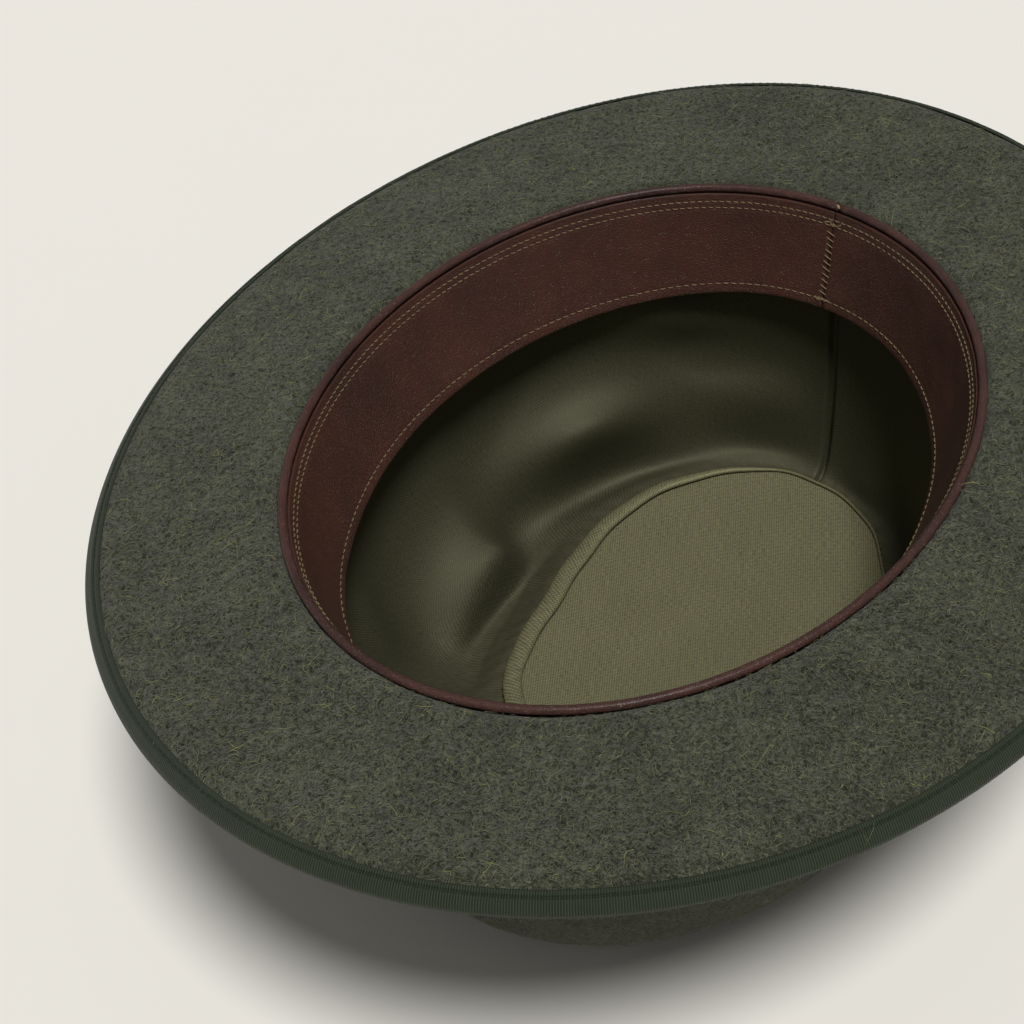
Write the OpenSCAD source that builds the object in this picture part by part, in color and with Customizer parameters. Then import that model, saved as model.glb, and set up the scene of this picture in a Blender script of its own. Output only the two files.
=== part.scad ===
// Bowler hat of stiff green felt, lying crown down as it rests on a table.
// Millimetres. +Z is up, out of the head opening. The crown rests on z = 0.
// The front of the hat is towards -Y, the back seams are at +Y, the wearer's left is -X.

/* [Head opening] */
// Length of the opening in the felt, front to back
mouth_l = 203; // [180:1:226]
// Width of the opening in the felt
mouth_w = 168.6; // [150:0.2:190]

/* [Crown] */
// Height from the table to the top of the reed
crown_h = 127; // [112:1:142]
// How boxy the crown is: 2 is an ellipse, higher is squarer
crown_square = 5; // [4.2:0.1:6]
// Thickness of the felt
felt_t = 2.8; // [2:0.1:3.6]
// How deep the dome is pressed flat where it rests
rest_press = 0.5; // [0.3:0.1:1]
// Radius of the sharp turn from crown to brim, on its hollow side
break_r = 0.9; // [0.5:0.1:2.5]

/* [Brim] */
// Width of the brim at the front
brim_front = 51.6; // [42:0.2:64]
// Width of the brim at the back
brim_back = 57.6; // [46:0.2:70]
// Width of the brim at each side
brim_side = 50.8; // [42:0.2:62]
// Fall of the brim from the head opening to where the curl starts
brim_fall = 3; // [0:0.1:5]
// How much the front and back stand over the mean height of the edge
brim_sweep = 2.5; // [0:0.1:5]
// Radius of the curled edge, on its convex side
curl_r = 12; // [9:0.5:18]
// Angle that the edge turns through
curl_angle = 48; // [40:1:70]

/* [Ribbon] */
// Thickness of the grosgrain ribbon
ribbon_t = 0.5; // [0.3:0.1:0.8]
// Width of the binding on each face of the brim
binding_w = 4.5; // [3.5:0.5:7]
// Height of the band round the crown
band_h = 36; // [25:1:45]
// Distance from the brim to the band
band_gap = 1.5; // [0.5:0.5:5]
// Length of the bow along the band
bow_l = 68; // [50:1:85]
// Fullness of the bow's loops
bow_full = 3.2; // [2:0.1:5]
// Height of the bow where it is drawn in
bow_waist = 24; // [16:1:25]
// Width of the knot round the bow
knot_w = 13; // [9:1:18]

/* [Sweatband] */
// Outer diameter of the leather piping on the reed
reed_d = 2.4; // [2.2:0.1:3]
// How far the piping stands over the brim
reed_proud = 0.8; // [0.4:0.1:1.2]
// Thickness of the leather wrapped round the reed
piping_t = 0.5; // [0.4:0.05:0.6]
// Height of the piping's tongue behind the sweatband
tongue_h = 5; // [4:0.5:7]
// Thickness of the sweatband leather
leather_t = 1.1; // [0.8:0.1:1.4]
// Height of the sweatband below the reed
sweat_h = 29; // [24:1:34]
// How far the free edge leans in at the front and back
lean_l = 8.5; // [5:0.5:12]
// How far the free edge leans in at the sides
lean_w = 12.5; // [8:0.5:16]
// Opening left between the two ends at the back seam
seam_open = 0.3; // [0.2:0.1:0.6]
// Width of the tape behind the back seam
tape_w = 12; // [8:1:16]

/* [Lining] */
// Thickness of the satin
satin_t = 0.5; // [0.4:0.1:0.8]
// Depth of the lining's upper edge below the reed
lining_top = 9; // [8:0.5:14]
// Height of the tip panel over the felt inside the crown
tip_clear = 25.2; // [22:0.2:33]
// How much shorter the tip panel is than the head opening
tip_short = 67; // [58:1:80]
// How much narrower the tip panel is than the head opening
tip_narrow = 67; // [58:1:78]
// How far the tip panel hangs towards the back
tip_back = 20; // [8:1:21]
// Depth of the deepest fold in the side of the lining
fold_depth = 7; // [3:0.5:9]
// Sag of the middle of the tip panel
tip_sag = 2; // [1:0.5:4]
// Width of the padded welt just inside the tip seam
welt_w = 4.6; // [3.6:0.1:5.5]
// Height of the padded welt
welt_h = 2.6; // [2:0.1:3.2]

/* [Sewing] */
// Diameter of the sewing thread
thread_d = 0.5; // [0.4:0.05:0.7]
// Step from stitch to stitch along the leather
stitch_step = 3.6; // [3:0.1:5]
// Step from stitch to stitch along the ribbon and the lining
fine_step = 4.8; // [4:0.1:6]
// Part of each step that a stitch covers
stitch_cover = 0.66; // [0.5:0.02:0.8]
// Distance of the first row below the sweatband's top
row_start = 1.6; // [1.4:0.1:2]
// Distance between the two rows under the reed
row_gap = 1.7; // [1.2:0.1:2.2]
// Distance of the lowest row from the sweatband's free edge
hem_gap = 3; // [2:0.5:5]

/* [Hidden] */
// Air between a soft piece and its neighbour
gap = 0.3;
// Air between the thread and what it is sewn to
snug = 0.08;
// Steps round the hat, and along the parts of a profile
seg = 64;
dome_steps = 14;
flat_steps = 4;
bend_steps = 3;
lining_steps = 8;
far = 400;
thread_fn = 16;

mouth_a = mouth_l / 2;
mouth_b = mouth_w / 2;
crown_a = mouth_a + felt_t;
crown_b = mouth_b + felt_t;
dome_h = crown_h + rest_press;

// The turn from crown to brim: its centre, and the radius of its convex side
bend_r = break_r + felt_t;
brim_z = crown_h - reed_proud;
bend_z = brim_z - bend_r;

// The edge of the brim, and the centre of its curl
edge_a = mouth_a + (brim_front + brim_back) / 2;
edge_b = mouth_b + brim_side;
edge_y = (brim_back - brim_front) / 2;
curl_in = curl_r * sin(curl_angle);
curl_z = brim_z - brim_fall - curl_r;
binding_angle = curl_angle - binding_w / curl_r * 180 / PI;

// The reed lies in the turn of the felt
reed_z = crown_h - reed_d / 2;
reed_reach = bend_r + reed_d / 2 + gap;
reed_off = bend_r - sqrt(pow(reed_reach, 2) - pow(reed_z - bend_z, 2));
core_r = reed_d / 2 - piping_t - 0.1;
tongue_in = gap + 0.4;
tongue_z = crown_h - reed_d - tongue_h;

// The sweatband, as distances in from the felt
sweat_top = crown_h - reed_d - 1.4 * gap;
sweat_low = sweat_top - sweat_h;
sweat_in = tongue_in + gap;
tape_t = 0.4;
tape_top = tongue_z - gap;

// The lining
lining_z = crown_h - lining_top;
tip_z = felt_t + tip_clear;
tip_a = (mouth_l - tip_short) / 2;
tip_b = (mouth_w - tip_narrow) / 2;
// How boxy the side's profile is, and how far it hangs away from that profile halfway down
slack = 3.4;
slack_in = 2.5;

felt_green = [0.27, 0.29, 0.24];
ribbon_green = [0.10, 0.15, 0.11];
band_brown = [0.20, 0.09, 0.06];
reed_brown = [0.33, 0.14, 0.09];
satin_olive = [0.42, 0.41, 0.25];
tan_thread = [0.55, 0.47, 0.30];
cane = [0.72, 0.62, 0.42];

// ---- Ovals and lofts ----

// The angles of the steps round the hat, or of n steps from one angle to another
function turns() = [for (j = [0:seg - 1]) 360 * j / seg];
function steps(from, to, n) = [for (j = [0:n]) from + (to - from) * j / n];
function mix(u, v, s) = u + (v - u) * s;

// A point of an oval: half length a, half width b, height z, its middle moved back by y
function oval(a, b, z, t, y = 0) = [b * cos(t), y + a * sin(t), z];
function ring(a, b, z, y = 0) = [for (t = turns()) oval(a, b, z, t, y)];

// A ring of the brim, raised at the front and back by its share of the sweep
function brim_ring(a, b, z, y, share) =
    [for (t = turns()) oval(a, b, z - brim_sweep * share * cos(2 * t), t, y)];

// The angle round an oval that stands at an even step of its length
function even(a, b, s) = s - (a * a - b * b) / (a * a + b * b) / 4 * sin(2 * s) * 180 / PI;

// Length round an oval
function girth(a, b) = PI * (3 * (a + b) - sqrt((3 * a + b) * (a + 3 * b)));

// A point of the dome's profile, as shares of its radius and its height
function dome(turn, square) =
    let (q = pow(pow(cos(turn), square) + pow(sin(turn), square), -1 / square))
    [q * cos(turn), q * sin(turn)];

// Share of the crown's radius that is left at a height z, on its outer face
function crown_share(z) =
    pow(1 - pow(min((crown_h - z) / dome_h, 0.999), crown_square), 1 / crown_square);

// A closed skin over rows of points. Where it is a loop, the last row joins the first;
// where it goes around, each row's last point joins its first. Open ends are closed.
module skin(rows, loop = false, around = true) {
    m = len(rows);
    n = len(rows[0]);
    sides = [for (i = [0:(loop ? m : m - 1) - 1], j = [0:(around ? n : n - 1) - 1])
        let (a = i * n + j, b = (i + 1) % m * n + j)
        let (c = (i + 1) % m * n + (j + 1) % n, d = i * n + (j + 1) % n)
        each [[a, c, b], [a, d, c]]];
    lids = loop ? [] : [[for (j = [n - 1:-1:0]) j], [for (j = [0:n - 1]) (m - 1) * n + j]];
    ends = around ? [] : [for (i = [0:m / 2 - 2])
        let (a = i * n, b = (i + 1) * n, c = (m - 2 - i) * n, d = (m - 1 - i) * n)
        each [[a, b, c], [a, c, d], [b + n - 1, a + n - 1, c + n - 1], [c + n - 1, a + n - 1, d + n - 1]]];
    polyhedron(points = [for (r = rows) each r], faces = concat(sides, lids, ends), convexity = 8);
}

// One straight stitch at a point, along a direction
module stitch(at, along, len) {
    flat = norm([along[0], along[1]]);
    translate(at)
        rotate([0, atan2(flat, along[2]), atan2(along[1], along[0])])
            cylinder(d = thread_d, h = len, center = true, $fn = thread_fn);
}

// A row of stitches round an oval that goes along the hat
module oval_row(a, b, z, y, step, sweep = 0) {
    count = round(girth(a, b) / step);
    len = girth(a, b) / count * stitch_cover;
    for (i = [0:count - 1]) {
        t = even(a, b, 360 * (i + 0.5) / count);
        stitch(oval(a, b, z - sweep * cos(2 * t), t, y), [-b * sin(t), a * cos(t), 2 * sweep * sin(2 * t)], len);
    }
}

// ---- Felt ----

// A ring of the curled edge, at a radius from the curl's centre and an angle of its turn
function curl_ring(r, turn) =
    let (out = r * sin(turn) - curl_in)
    brim_ring(edge_a + out, edge_b + out, curl_z + r * cos(turn), edge_y, 1);
curl_turns = [0, binding_angle / 2, binding_angle, (binding_angle + curl_angle) / 2, curl_angle];

// A ring of the flat of the brim, at a share of the way from the crown to the curl
function flat_ring(s, drop) = brim_ring(
    mix(mouth_a + bend_r, edge_a - curl_in, s),
    mix(mouth_b + bend_r, edge_b - curl_in, s),
    brim_z - brim_fall * s - drop, edge_y * s, s * s);

// A ring of the turn from crown to brim
function bend_ring(r, turn) =
    let (out = bend_r - r * cos(turn))
    ring(mouth_a + out, mouth_b + out, bend_z + r * sin(turn));

// A ring of the dome's outer or inner face
function dome_ring(a, b, h, turn) =
    let (p = dome(turn, crown_square))
    ring(a * p[0], b * p[0], crown_h - h * p[1]);

module felt_body() {
    low_turn = atan((reed_proud + bend_r) / dome_h) + 1;
    outer = concat(
        [for (u = steps(88, low_turn, dome_steps)) dome_ring(crown_a, crown_b, dome_h, u)],
        [for (u = steps(0, 90, bend_steps)) bend_ring(break_r, u)],
        [for (s = steps(0, 1, flat_steps)) if (s > 0 && s < 1) flat_ring(s, felt_t)],
        [for (u = curl_turns) curl_ring(curl_r - felt_t, u)]);
    inner = concat(
        [for (i = [4:-1:0]) curl_ring(curl_r, curl_turns[i])],
        [for (s = steps(1, 0, flat_steps)) if (s > 0 && s < 1) flat_ring(s, 0)],
        [for (u = steps(90, 0, bend_steps)) bend_ring(bend_r, u)],
        [for (u = steps(low_turn, 88, dome_steps)) dome_ring(mouth_a, mouth_b, crown_h - felt_t, u)]);
    color(felt_green)
        difference() {
            skin(concat(outer, inner));
            translate([-far / 2, -far / 2, -far])
                cube([far, far, far]);
        }
}

// ---- Ribbon ----

// The binding's face at a distance from the felt: over the curl, round its edge and back
function binding_face(off) =
    let (turns_on = [for (i = [2:4]) curl_turns[i]])
    let (mid = curl_r - felt_t / 2, half = felt_t / 2 + off)
    concat(
        [for (u = turns_on) curl_ring(curl_r + off, u)],
        [for (u = [60, 120])
            let (out = (mid + half * cos(u)) * sin(curl_angle) + half * sin(u) * cos(curl_angle) - curl_in)
            let (up = (mid + half * cos(u)) * cos(curl_angle) - half * sin(u) * sin(curl_angle))
            brim_ring(edge_a + out, edge_b + out, curl_z + up, edge_y, 1)],
        [for (i = [2:-1:0]) curl_ring(curl_r - felt_t - off, turns_on[i])]);

function back_to_front(list) = [for (i = [len(list) - 1:-1:0]) list[i]];

module brim_binding() {
    color(ribbon_green)
        skin(concat(binding_face(gap + ribbon_t), back_to_front(binding_face(gap))), loop = true);
}

// One row on the face that shows, a third of the way in from the binding's inner edge
module binding_stitches() {
    turn = mix(binding_angle, curl_angle, 0.3);
    r = curl_r + gap + ribbon_t + snug + thread_d / 2;
    out = r * sin(turn) - curl_in;
    color(ribbon_green)
        oval_row(edge_a + out, edge_b + out, curl_z + r * cos(turn), edge_y, fine_step, brim_sweep);
}

band_top = brim_z - felt_t - break_r - band_gap;
band_low = band_top - band_h;

// A point on the crown's outer face at a height, a distance off it and an angle
function on_crown(z, off, t) =
    let (k = crown_share(z))
    oval(crown_a * k + off, crown_b * k + off, z, t);

module hat_band() {
    heights = steps(band_low, band_top, 2);
    color(ribbon_green)
        skin(concat(
            [for (z = heights) [for (t = turns()) on_crown(z, gap, t)]],
            [for (z = back_to_front(heights)) [for (t = turns()) on_crown(z, gap + ribbon_t, t)]]),
            loop = true);
}

// The bow lies on the wearer's left. Its angles stand for lengths along the band.
bow_mid = 180;
bow_turn = asin(min(bow_l / 2 / crown_a, 1));
knot_turn = asin(knot_w / 2 / crown_a);
band_mid = (band_low + band_top) / 2;
band_off = 2 * gap + ribbon_t;

// Shares of the bow's full size at a share of the way from its waist to its end
function bow_width(s) = mix(bow_waist / band_h, 0.98, sin(90 * min(1, s * 1.6)));
waist_t = 1.4;

// A lengthwise edge of a bow piece: its height from the band's middle and its distance off it
function bow_edge(t, up, thick) =
    let (s = max(0, (abs(t - bow_mid) - knot_turn) / (bow_turn - knot_turn)))
    let (z = band_mid + up * band_h / 2 * bow_width(s))
    let (full = waist_t + (bow_full - waist_t) * sin(180 * pow(s, 0.7)))
    on_crown(z, band_off + thick * full, t);

module bow_loops() {
    angles = steps(bow_mid - bow_turn, bow_mid + bow_turn, 16);
    color(ribbon_green)
        skin([for (p = [[-0.96, 0], [-1, 0.3], [-0.5, 0.9], [0.5, 1], [1, 0.3], [0.96, 0]])
            [for (t = angles) bow_edge(t, p[0], p[1])]], loop = true, around = false);
}

module bow_knot() {
    wrap = 0.7;
    angles = steps(bow_mid - knot_turn, bow_mid + knot_turn, 4);
    half = bow_waist / 2 + gap;
    top = band_off + waist_t + gap;
    outer = [[-half - wrap, band_off], [-half - wrap, top], [-half, top + wrap],
        [half, top + wrap], [half + wrap, top], [half + wrap, band_off]];
    inner = [[-half, band_off], [-half, top - 0.2], [-half + 0.2, top],
        [half - 0.2, top], [half, top - 0.2], [half, band_off]];
    color(ribbon_green)
        skin([for (p = concat(inner, back_to_front(outer)))
            [for (t = angles) on_crown(band_mid + p[0], p[1], t)]], loop = true, around = false);
}

// Short upright stitches that hold the band's upper edge to the crown
module band_tacks() {
    off = gap + ribbon_t + snug + thread_d / 2;
    color(ribbon_green)
        for (t = [30:60:330])
            stitch(on_crown(band_top - 2, off, t), [0, 0, 1], 3);
}

// ---- Sweatband ----

module reed_core() {
    color(cane)
        skin([for (u = [0:45:315])
            ring(mouth_a + reed_off + core_r * cos(u), mouth_b + reed_off + core_r * cos(u),
                reed_z + core_r * sin(u))], loop = true);
}

// Leather folded over the reed, with a tongue behind the sweatband
module reed_piping() {
    r = reed_d / 2;
    wrap = [for (u = [235:-45:-35]) u];
    shoulder = crown_h - reed_d - 0.1;
    outer = concat(
        [for (u = wrap) [reed_off + r * cos(u), reed_z + r * sin(u)]],
        [[-gap, shoulder], [-gap, tongue_z]]);
    inner = concat(
        [for (u = wrap) [reed_off + (r - piping_t) * cos(u), reed_z + (r - piping_t) * sin(u)]],
        [[-tongue_in, shoulder], [-tongue_in, tongue_z]]);
    color(reed_brown)
        skin([for (p = concat(outer, back_to_front(inner)))
            ring(mouth_a + p[0], mouth_b + p[0], p[1])], loop = true);
}

// A point of the sweatband at a share of its height down, a distance in from its outer face
function sweat_point(s, inward, t) =
    let (lean = pow(s, 1.25))
    oval(mouth_a - sweat_in - lean_l * lean - inward, mouth_b - sweat_in - lean_w * lean - inward,
        mix(sweat_top, sweat_low, s), t);

module sweatband() {
    slit = asin(seam_open / 2 / mouth_b);
    angles = concat([90 + slit], [for (j = [1:seg - 1]) 90 + 360 * j / seg], [450 - slit]);
    shares = steps(0, 1, 4);
    color(band_brown)
        skin(concat(
            [for (s = shares) [for (t = angles) sweat_point(s, leather_t, t)]],
            [for (s = back_to_front(shares)) [for (t = angles) sweat_point(s, 0, t)]]),
            loop = true, around = false);
}

// A row of stitches along the sweatband's face, at a distance below its top
module sweat_row(below) {
    s = below / sweat_h;
    side = sweat_point(s, leather_t + snug + thread_d / 2, 0);
    back = sweat_point(s, leather_t + snug + thread_d / 2, 90);
    oval_row(back[1], side[0], side[2], 0, stitch_step);
}

module reed_stitches() {
    color(tan_thread) {
        sweat_row(row_start);
        sweat_row(row_start + row_gap);
    }
}

module hem_stitches() {
    color(tan_thread)
        sweat_row(sweat_h - hem_gap);
}

// Tape that backs the joint between the sweatband's ends
module seam_tape() {
    half = asin(tape_w / 2 / mouth_b);
    angles = steps(90 - half, 90 + half, 4);
    shares = steps((sweat_top - tape_top) / sweat_h, 0.95, 3);
    color(cane)
        skin(concat(
            [for (s = shares) [for (t = angles) sweat_point(s, -gap / 3, t)]],
            [for (s = back_to_front(shares)) [for (t = angles) sweat_point(s, -gap / 3 - tape_t, t)]]),
            loop = true, around = false);
}

// Slanting stitches across the joint at the back
module back_seam_stitches() {
    count = 11;
    color(tan_thread)
        for (i = [0:count - 1]) {
            s = mix(0.2, 0.8, i / (count - 1));
            stitch(sweat_point(s, leather_t + snug + thread_d / 2, 90), [1, 0, -0.3], 5);
        }
}

// Close short rows that lock the two ends of the back seam
module seam_bar_tacks() {
    color(tan_thread)
        for (s = [0.145, 0.86], i = [-3:3])
            stitch(sweat_point(s, leather_t + snug + thread_d / 2, 90 + i * 0.5), [0, 0.2, -1], 2);
}

// ---- Lining ----

// The side's soft folds: angle round the hat, turn of the profile, share of the full depth
// inwards (or outwards), and half widths in those two angles
folds = [
    [193, 56, 1, 10, 22], [172, 66, -0.3, 8, 10], [147, 49, 0.85, 15, 10], [151, 67, -0.3, 15, 6],
    [108, 44, 0.5, 12, 9], [128, 21, 0.3, 12, 8], [118, 32, -0.2, 10, 7], [156, 31, 0.35, 10, 11],
    [212, 44, -0.2, 7, 13], [207, 64, 0.35, 8, 10], [228, 54, 0.7, 9, 20], [268, 48, 0.5, 14, 14],
    [302, 56, 0.7, 12, 18], [338, 46, 0.4, 14, 16], [12, 52, 0.6, 13, 18], [52, 42, 0.45, 15, 14],
    [76, 56, 0.3, 8, 14]];
function bump(v) = exp(-v * v);
function turn_from(t, middle) = (t - middle + 540) % 360 - 180;
function total(list, i = 0) = i < len(list) ? list[i] + total(list, i + 1) : 0;

// How far the folds draw the side in, none at its two edges
function fold(turn, t) =
    let (ease = min(1, turn / 15) * min(1, (90 - turn) / 12))
    let (sum = total([for (f = folds) f[2] * bump(turn_from(t, f[0]) / f[3]) * bump((turn - f[1]) / f[4])]))
    fold_depth * ease * max(sum, -0.3);

// A point of the lining's side where its profile has turned from upright towards level,
// a distance in from the side's back
function side_point(turn, inward, t) =
    let (p = dome(turn, slack))
    let (top = oval(mouth_a - gap, mouth_b - gap, lining_z, t))
    let (tip = oval(tip_a, tip_b, tip_z, t, tip_back))
    let (off = inward + fold(turn, t), draw = off * cos(turn) + slack_in * sin(2 * turn))
    [mix(tip[0], top[0], p[0]) - draw * cos(t), mix(tip[1], top[1], p[0]) - draw * sin(t),
        mix(lining_z, tip_z, p[1]) + off * sin(turn)];

// The turn of the profile at a share of the side's depth
function turn_at(h) = atan2(h, pow(1 - pow(h, slack), 1 / slack));

module lining_side() {
    profile = steps(0, 90, lining_steps);
    color(satin_olive)
        skin(concat(
            [for (u = profile) [for (t = turns()) side_point(u, satin_t, t)]],
            [for (u = back_to_front(profile)) [for (t = turns()) side_point(u, 0, t)]]),
            loop = true);
}

// The tip's face at a share of the way out from its middle
function tip_ring(s, up) = ring((tip_a - gap) * s, (tip_b - gap) * s,
    tip_z + up - tip_sag * (1 - s * s), tip_back);

module lining_tip() {
    shares = [0.1, 0.4, 0.7, 1];
    color(satin_olive)
        skin(concat([for (s = shares) tip_ring(s, 0)], [for (s = back_to_front(shares)) tip_ring(s, satin_t)]));
}

// Padded welt on the edge of the tip panel
module tip_welt() {
    in = gap + welt_w / 2;
    low = tip_z + satin_t + gap / 2 + welt_h / 2;
    color(satin_olive)
        skin([for (u = [0:45:315])
            ring(tip_a - in + welt_w / 2 * cos(u), tip_b - in + welt_w / 2 * cos(u),
                low + welt_h / 2 * sin(u), tip_back)], loop = true);
}

module tip_seam_stitches() {
    color(satin_olive)
        oval_row(tip_a + thread_d, tip_b + thread_d, tip_z + satin_t + gap + thread_d / 2, tip_back, fine_step);
}

// The upright seam at the back of the side, sewn from the sweatband to the tip
module lining_seam_stitches() {
    count = round((lining_z - tip_z) / fine_step);
    off = satin_t + snug + thread_d / 2;
    color(satin_olive)
        for (i = [0:count - 2]) {
            turn = turn_at((i + 0.7) / count);
            p = side_point(turn, off, 90);
            q = side_point(turn + 0.5, off, 90);
            stitch(p, q - p, fine_step * stitch_cover);
        }
}

// Short upright stitches that hold the lining's upper edge to the felt
module lining_tacks() {
    color(satin_olive)
        for (t = [15:30:345])
            stitch(side_point(turn_at(0.02), satin_t + snug + thread_d / 2, t), [0, 0, 1], 2);
}

felt_body();
brim_binding();
binding_stitches();
hat_band();
bow_loops();
bow_knot();
band_tacks();
reed_core();
reed_piping();
sweatband();
reed_stitches();
hem_stitches();
seam_tape();
back_seam_stitches();
seam_bar_tacks();
lining_side();
lining_tip();
tip_welt();
tip_seam_stitches();
lining_seam_stitches();
lining_tacks();
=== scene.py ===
"""Looks of a green felt bowler hat that lies crown down, showing its sweatband and satin lining.

Sizes are in millimetres until a mesh is made. The hat's front is towards -Y, its back seams are at +Y,
the wearer's left is -X and the crown rests on z = 0. Angles round the hat count from +X towards +Y.
"""
import math

import bpy
import numpy as np
from mathutils import Matrix, Vector


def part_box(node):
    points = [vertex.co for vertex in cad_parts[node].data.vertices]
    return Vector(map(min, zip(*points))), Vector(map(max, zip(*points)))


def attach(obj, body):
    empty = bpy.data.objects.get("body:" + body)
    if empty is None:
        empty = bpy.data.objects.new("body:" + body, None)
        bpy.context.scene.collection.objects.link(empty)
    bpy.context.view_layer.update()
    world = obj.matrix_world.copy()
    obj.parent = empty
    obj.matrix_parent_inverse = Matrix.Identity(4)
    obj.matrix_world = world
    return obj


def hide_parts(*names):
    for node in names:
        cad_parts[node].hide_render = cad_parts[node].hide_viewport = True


bl_info = {
    "name": "Felt Bowler Hat",
    "version": (1, 0, 0),
    "blender": (4, 5, 0),
    "location": "View3D > Sidebar > Hat",
    "description": "Builds the felt, ribbon, leather, lining and sewing of a bowler hat",
    "category": "Add Mesh",
}

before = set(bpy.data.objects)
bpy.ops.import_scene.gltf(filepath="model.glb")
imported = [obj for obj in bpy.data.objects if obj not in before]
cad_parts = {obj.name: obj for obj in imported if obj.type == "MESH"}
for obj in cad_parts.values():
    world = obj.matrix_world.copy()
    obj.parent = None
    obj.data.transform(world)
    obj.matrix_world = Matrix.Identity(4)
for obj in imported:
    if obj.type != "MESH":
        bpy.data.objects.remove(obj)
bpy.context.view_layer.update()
MM = 0.001
BODY = "root"
BACK = math.radians(90.0)  # the angle of the back seams


# ---- Sizes taken from the frame ----

class Span:
    """A CAD node's box, in millimetres."""

    def __init__(self, node):
        low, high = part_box(node)
        self.low = np.array(low) / MM
        self.high = np.array(high) / MM
        self.half = (self.high - self.low) / 2
        self.middle = (self.high + self.low) / 2


FELT = Span("felt_body")
REED = Span("reed_piping")
SWEAT = Span("sweatband")
SIDE = Span("lining_side")
TIP = Span("lining_tip")
WELT = Span("tip_welt")
BAND = Span("hat_band")
BOW = Span("bow_loops")
KNOT = Span("bow_knot")
TAPE = Span("seam_tape")

CLOTH_UNIT = 100.0  # millimetres of cloth to one unit of its map
GAP = 0.3  # air between a soft piece and its neighbour, as in the CAD
RIM_Z = REED.high[2]
WALL_A = SIDE.half[1] + GAP  # the felt's inner wall, front to back
WALL_B = SIDE.half[0] + GAP
EDGE_A, EDGE_B, EDGE_Y = FELT.half[1], FELT.half[0], FELT.middle[1]


# ---- What a user may change ----

def length(name, description, default, low=0.0, high=100.0):
    """A property in millimetres."""
    return bpy.props.FloatProperty(name=name, description=description, default=default, min=low, max=high)


def colour(name, description, red, green, blue):
    """A colour property, written as the 0 to 255 values of a plain display."""
    values = [(v / 255 / 12.92) if v < 10.3 else ((v / 255 + 0.055) / 1.055) ** 2.4 for v in (red, green, blue)]
    return bpy.props.FloatVectorProperty(
        name=name, description=description, subtype="COLOR", size=3, min=0.0, max=1.0, default=values)


class FeltSettings(bpy.types.PropertyGroup):
    """The felt body and its hairs."""
    thickness: length("Thickness", "Thickness of the felt, in millimetres", 2.8, 1, 5)
    squareness: bpy.props.FloatProperty(
        name="Squareness", description="How boxy the crown is; 2 is an ellipse", default=5.0, min=2.0, max=8.0)
    press: length("Press", "How deep the dome is pressed flat, in millimetres", 0.5, 0, 2)
    break_radius: length("Break radius", "Radius of the turn from crown to brim, in millimetres", 0.9, 0.3, 4)
    proud: length("Reed height", "How far the reed stands over the brim, in millimetres", 0.8, 0, 2)
    fall: length("Fall", "Fall of the brim to the start of its curl, in millimetres", 3.0, 0, 6)
    sweep: length("Sweep", "Rise of the brim's front and back, in millimetres", 2.5, 0, 6)
    curl_radius: length("Curl radius", "Radius of the curled edge, in millimetres", 12.0, 6, 20)
    curl_angle: bpy.props.FloatProperty(
        name="Curl angle", description="Turn of the curled edge", subtype="ANGLE",
        default=math.radians(48), min=math.radians(30), max=math.radians(90))
    hairs: bpy.props.IntProperty(
        name="Hairs", description="Number of loose hairs", default=14000, min=0, max=40000)
    ground: colour("Ground", "Darkest wool of the heather mix", 30, 31, 26)
    wool: colour("Wool", "Main wool of the heather mix", 47, 49, 40)
    pale: colour("Pale", "Pale fibres of the heather mix", 108, 111, 91)
    cool: colour("Cool", "Grey wool of the heather mix", 56, 53, 54)
    hair: colour("Hair", "Loose yellow-green hairs", 150, 150, 98)


class RibbonSettings(bpy.types.PropertyGroup):
    """The grosgrain ribbon of the binding, the band and the bow."""
    thickness: length("Thickness", "Thickness of the ribbon, in millimetres", 0.5, 0.2, 1)
    rib_pitch: length("Rib pitch", "Distance from rib to rib, in millimetres", 0.62, 0.4, 2)
    rib_height: length("Rib height", "Height of a rib, in millimetres", 0.10, 0, 0.3)
    binding_width: length("Binding width", "Width of the binding on each face, in millimetres", 4.5, 3, 8)
    # The ribbon's colour runs from dark between the ribs to light on them: painted shade in the grooves and
    # painted light on the ribs.
    dark: colour("Dark", "Between the ribs", 10, 15, 9)
    light: colour("Light", "On the ribs", 60, 70, 51)


class LeatherSettings(bpy.types.PropertyGroup):
    """The sweatband and the piping on the reed."""
    thickness: length("Thickness", "Thickness of the sweatband, in millimetres", 1.1, 0.6, 2)
    piping: length("Piping", "Diameter of the piping, in millimetres", 2.4, 1.5, 4)
    dark: colour("Dark", "Darkest part of the sweatband", 56, 31, 22)
    brown: colour("Brown", "Main colour of the sweatband", 86, 47, 33)
    piping_dark: colour("Piping dark", "Creases of the piping", 46, 27, 22)
    piping_brown: colour("Piping brown", "Main colour of the piping", 92, 58, 50)


class SatinSettings(bpy.types.PropertyGroup):
    """The lining."""
    thickness: length("Thickness", "Thickness of the satin, in millimetres", 0.4, 0.1, 1)
    folds: length("Folds", "Depth of the deepest fold in the side, in millimetres", 7.0, 0, 9)
    deep: colour("Deep", "The tip's satin in its weave's shade", 72, 71, 51)
    olive: colour("Olive", "The tip's satin where it is lit", 146, 143, 109)
    # The side's two colours are the tip's satin painted darker: painted shade for the dim walls of the side,
    # besides the weave's own shade and light.
    side_deep_painted_shade: colour("Side deep", "The side's satin in its weave's shade", 34, 34, 24)
    side_olive_painted_shade: colour("Side olive", "The side's satin where it is lit", 84, 82, 60)


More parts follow.
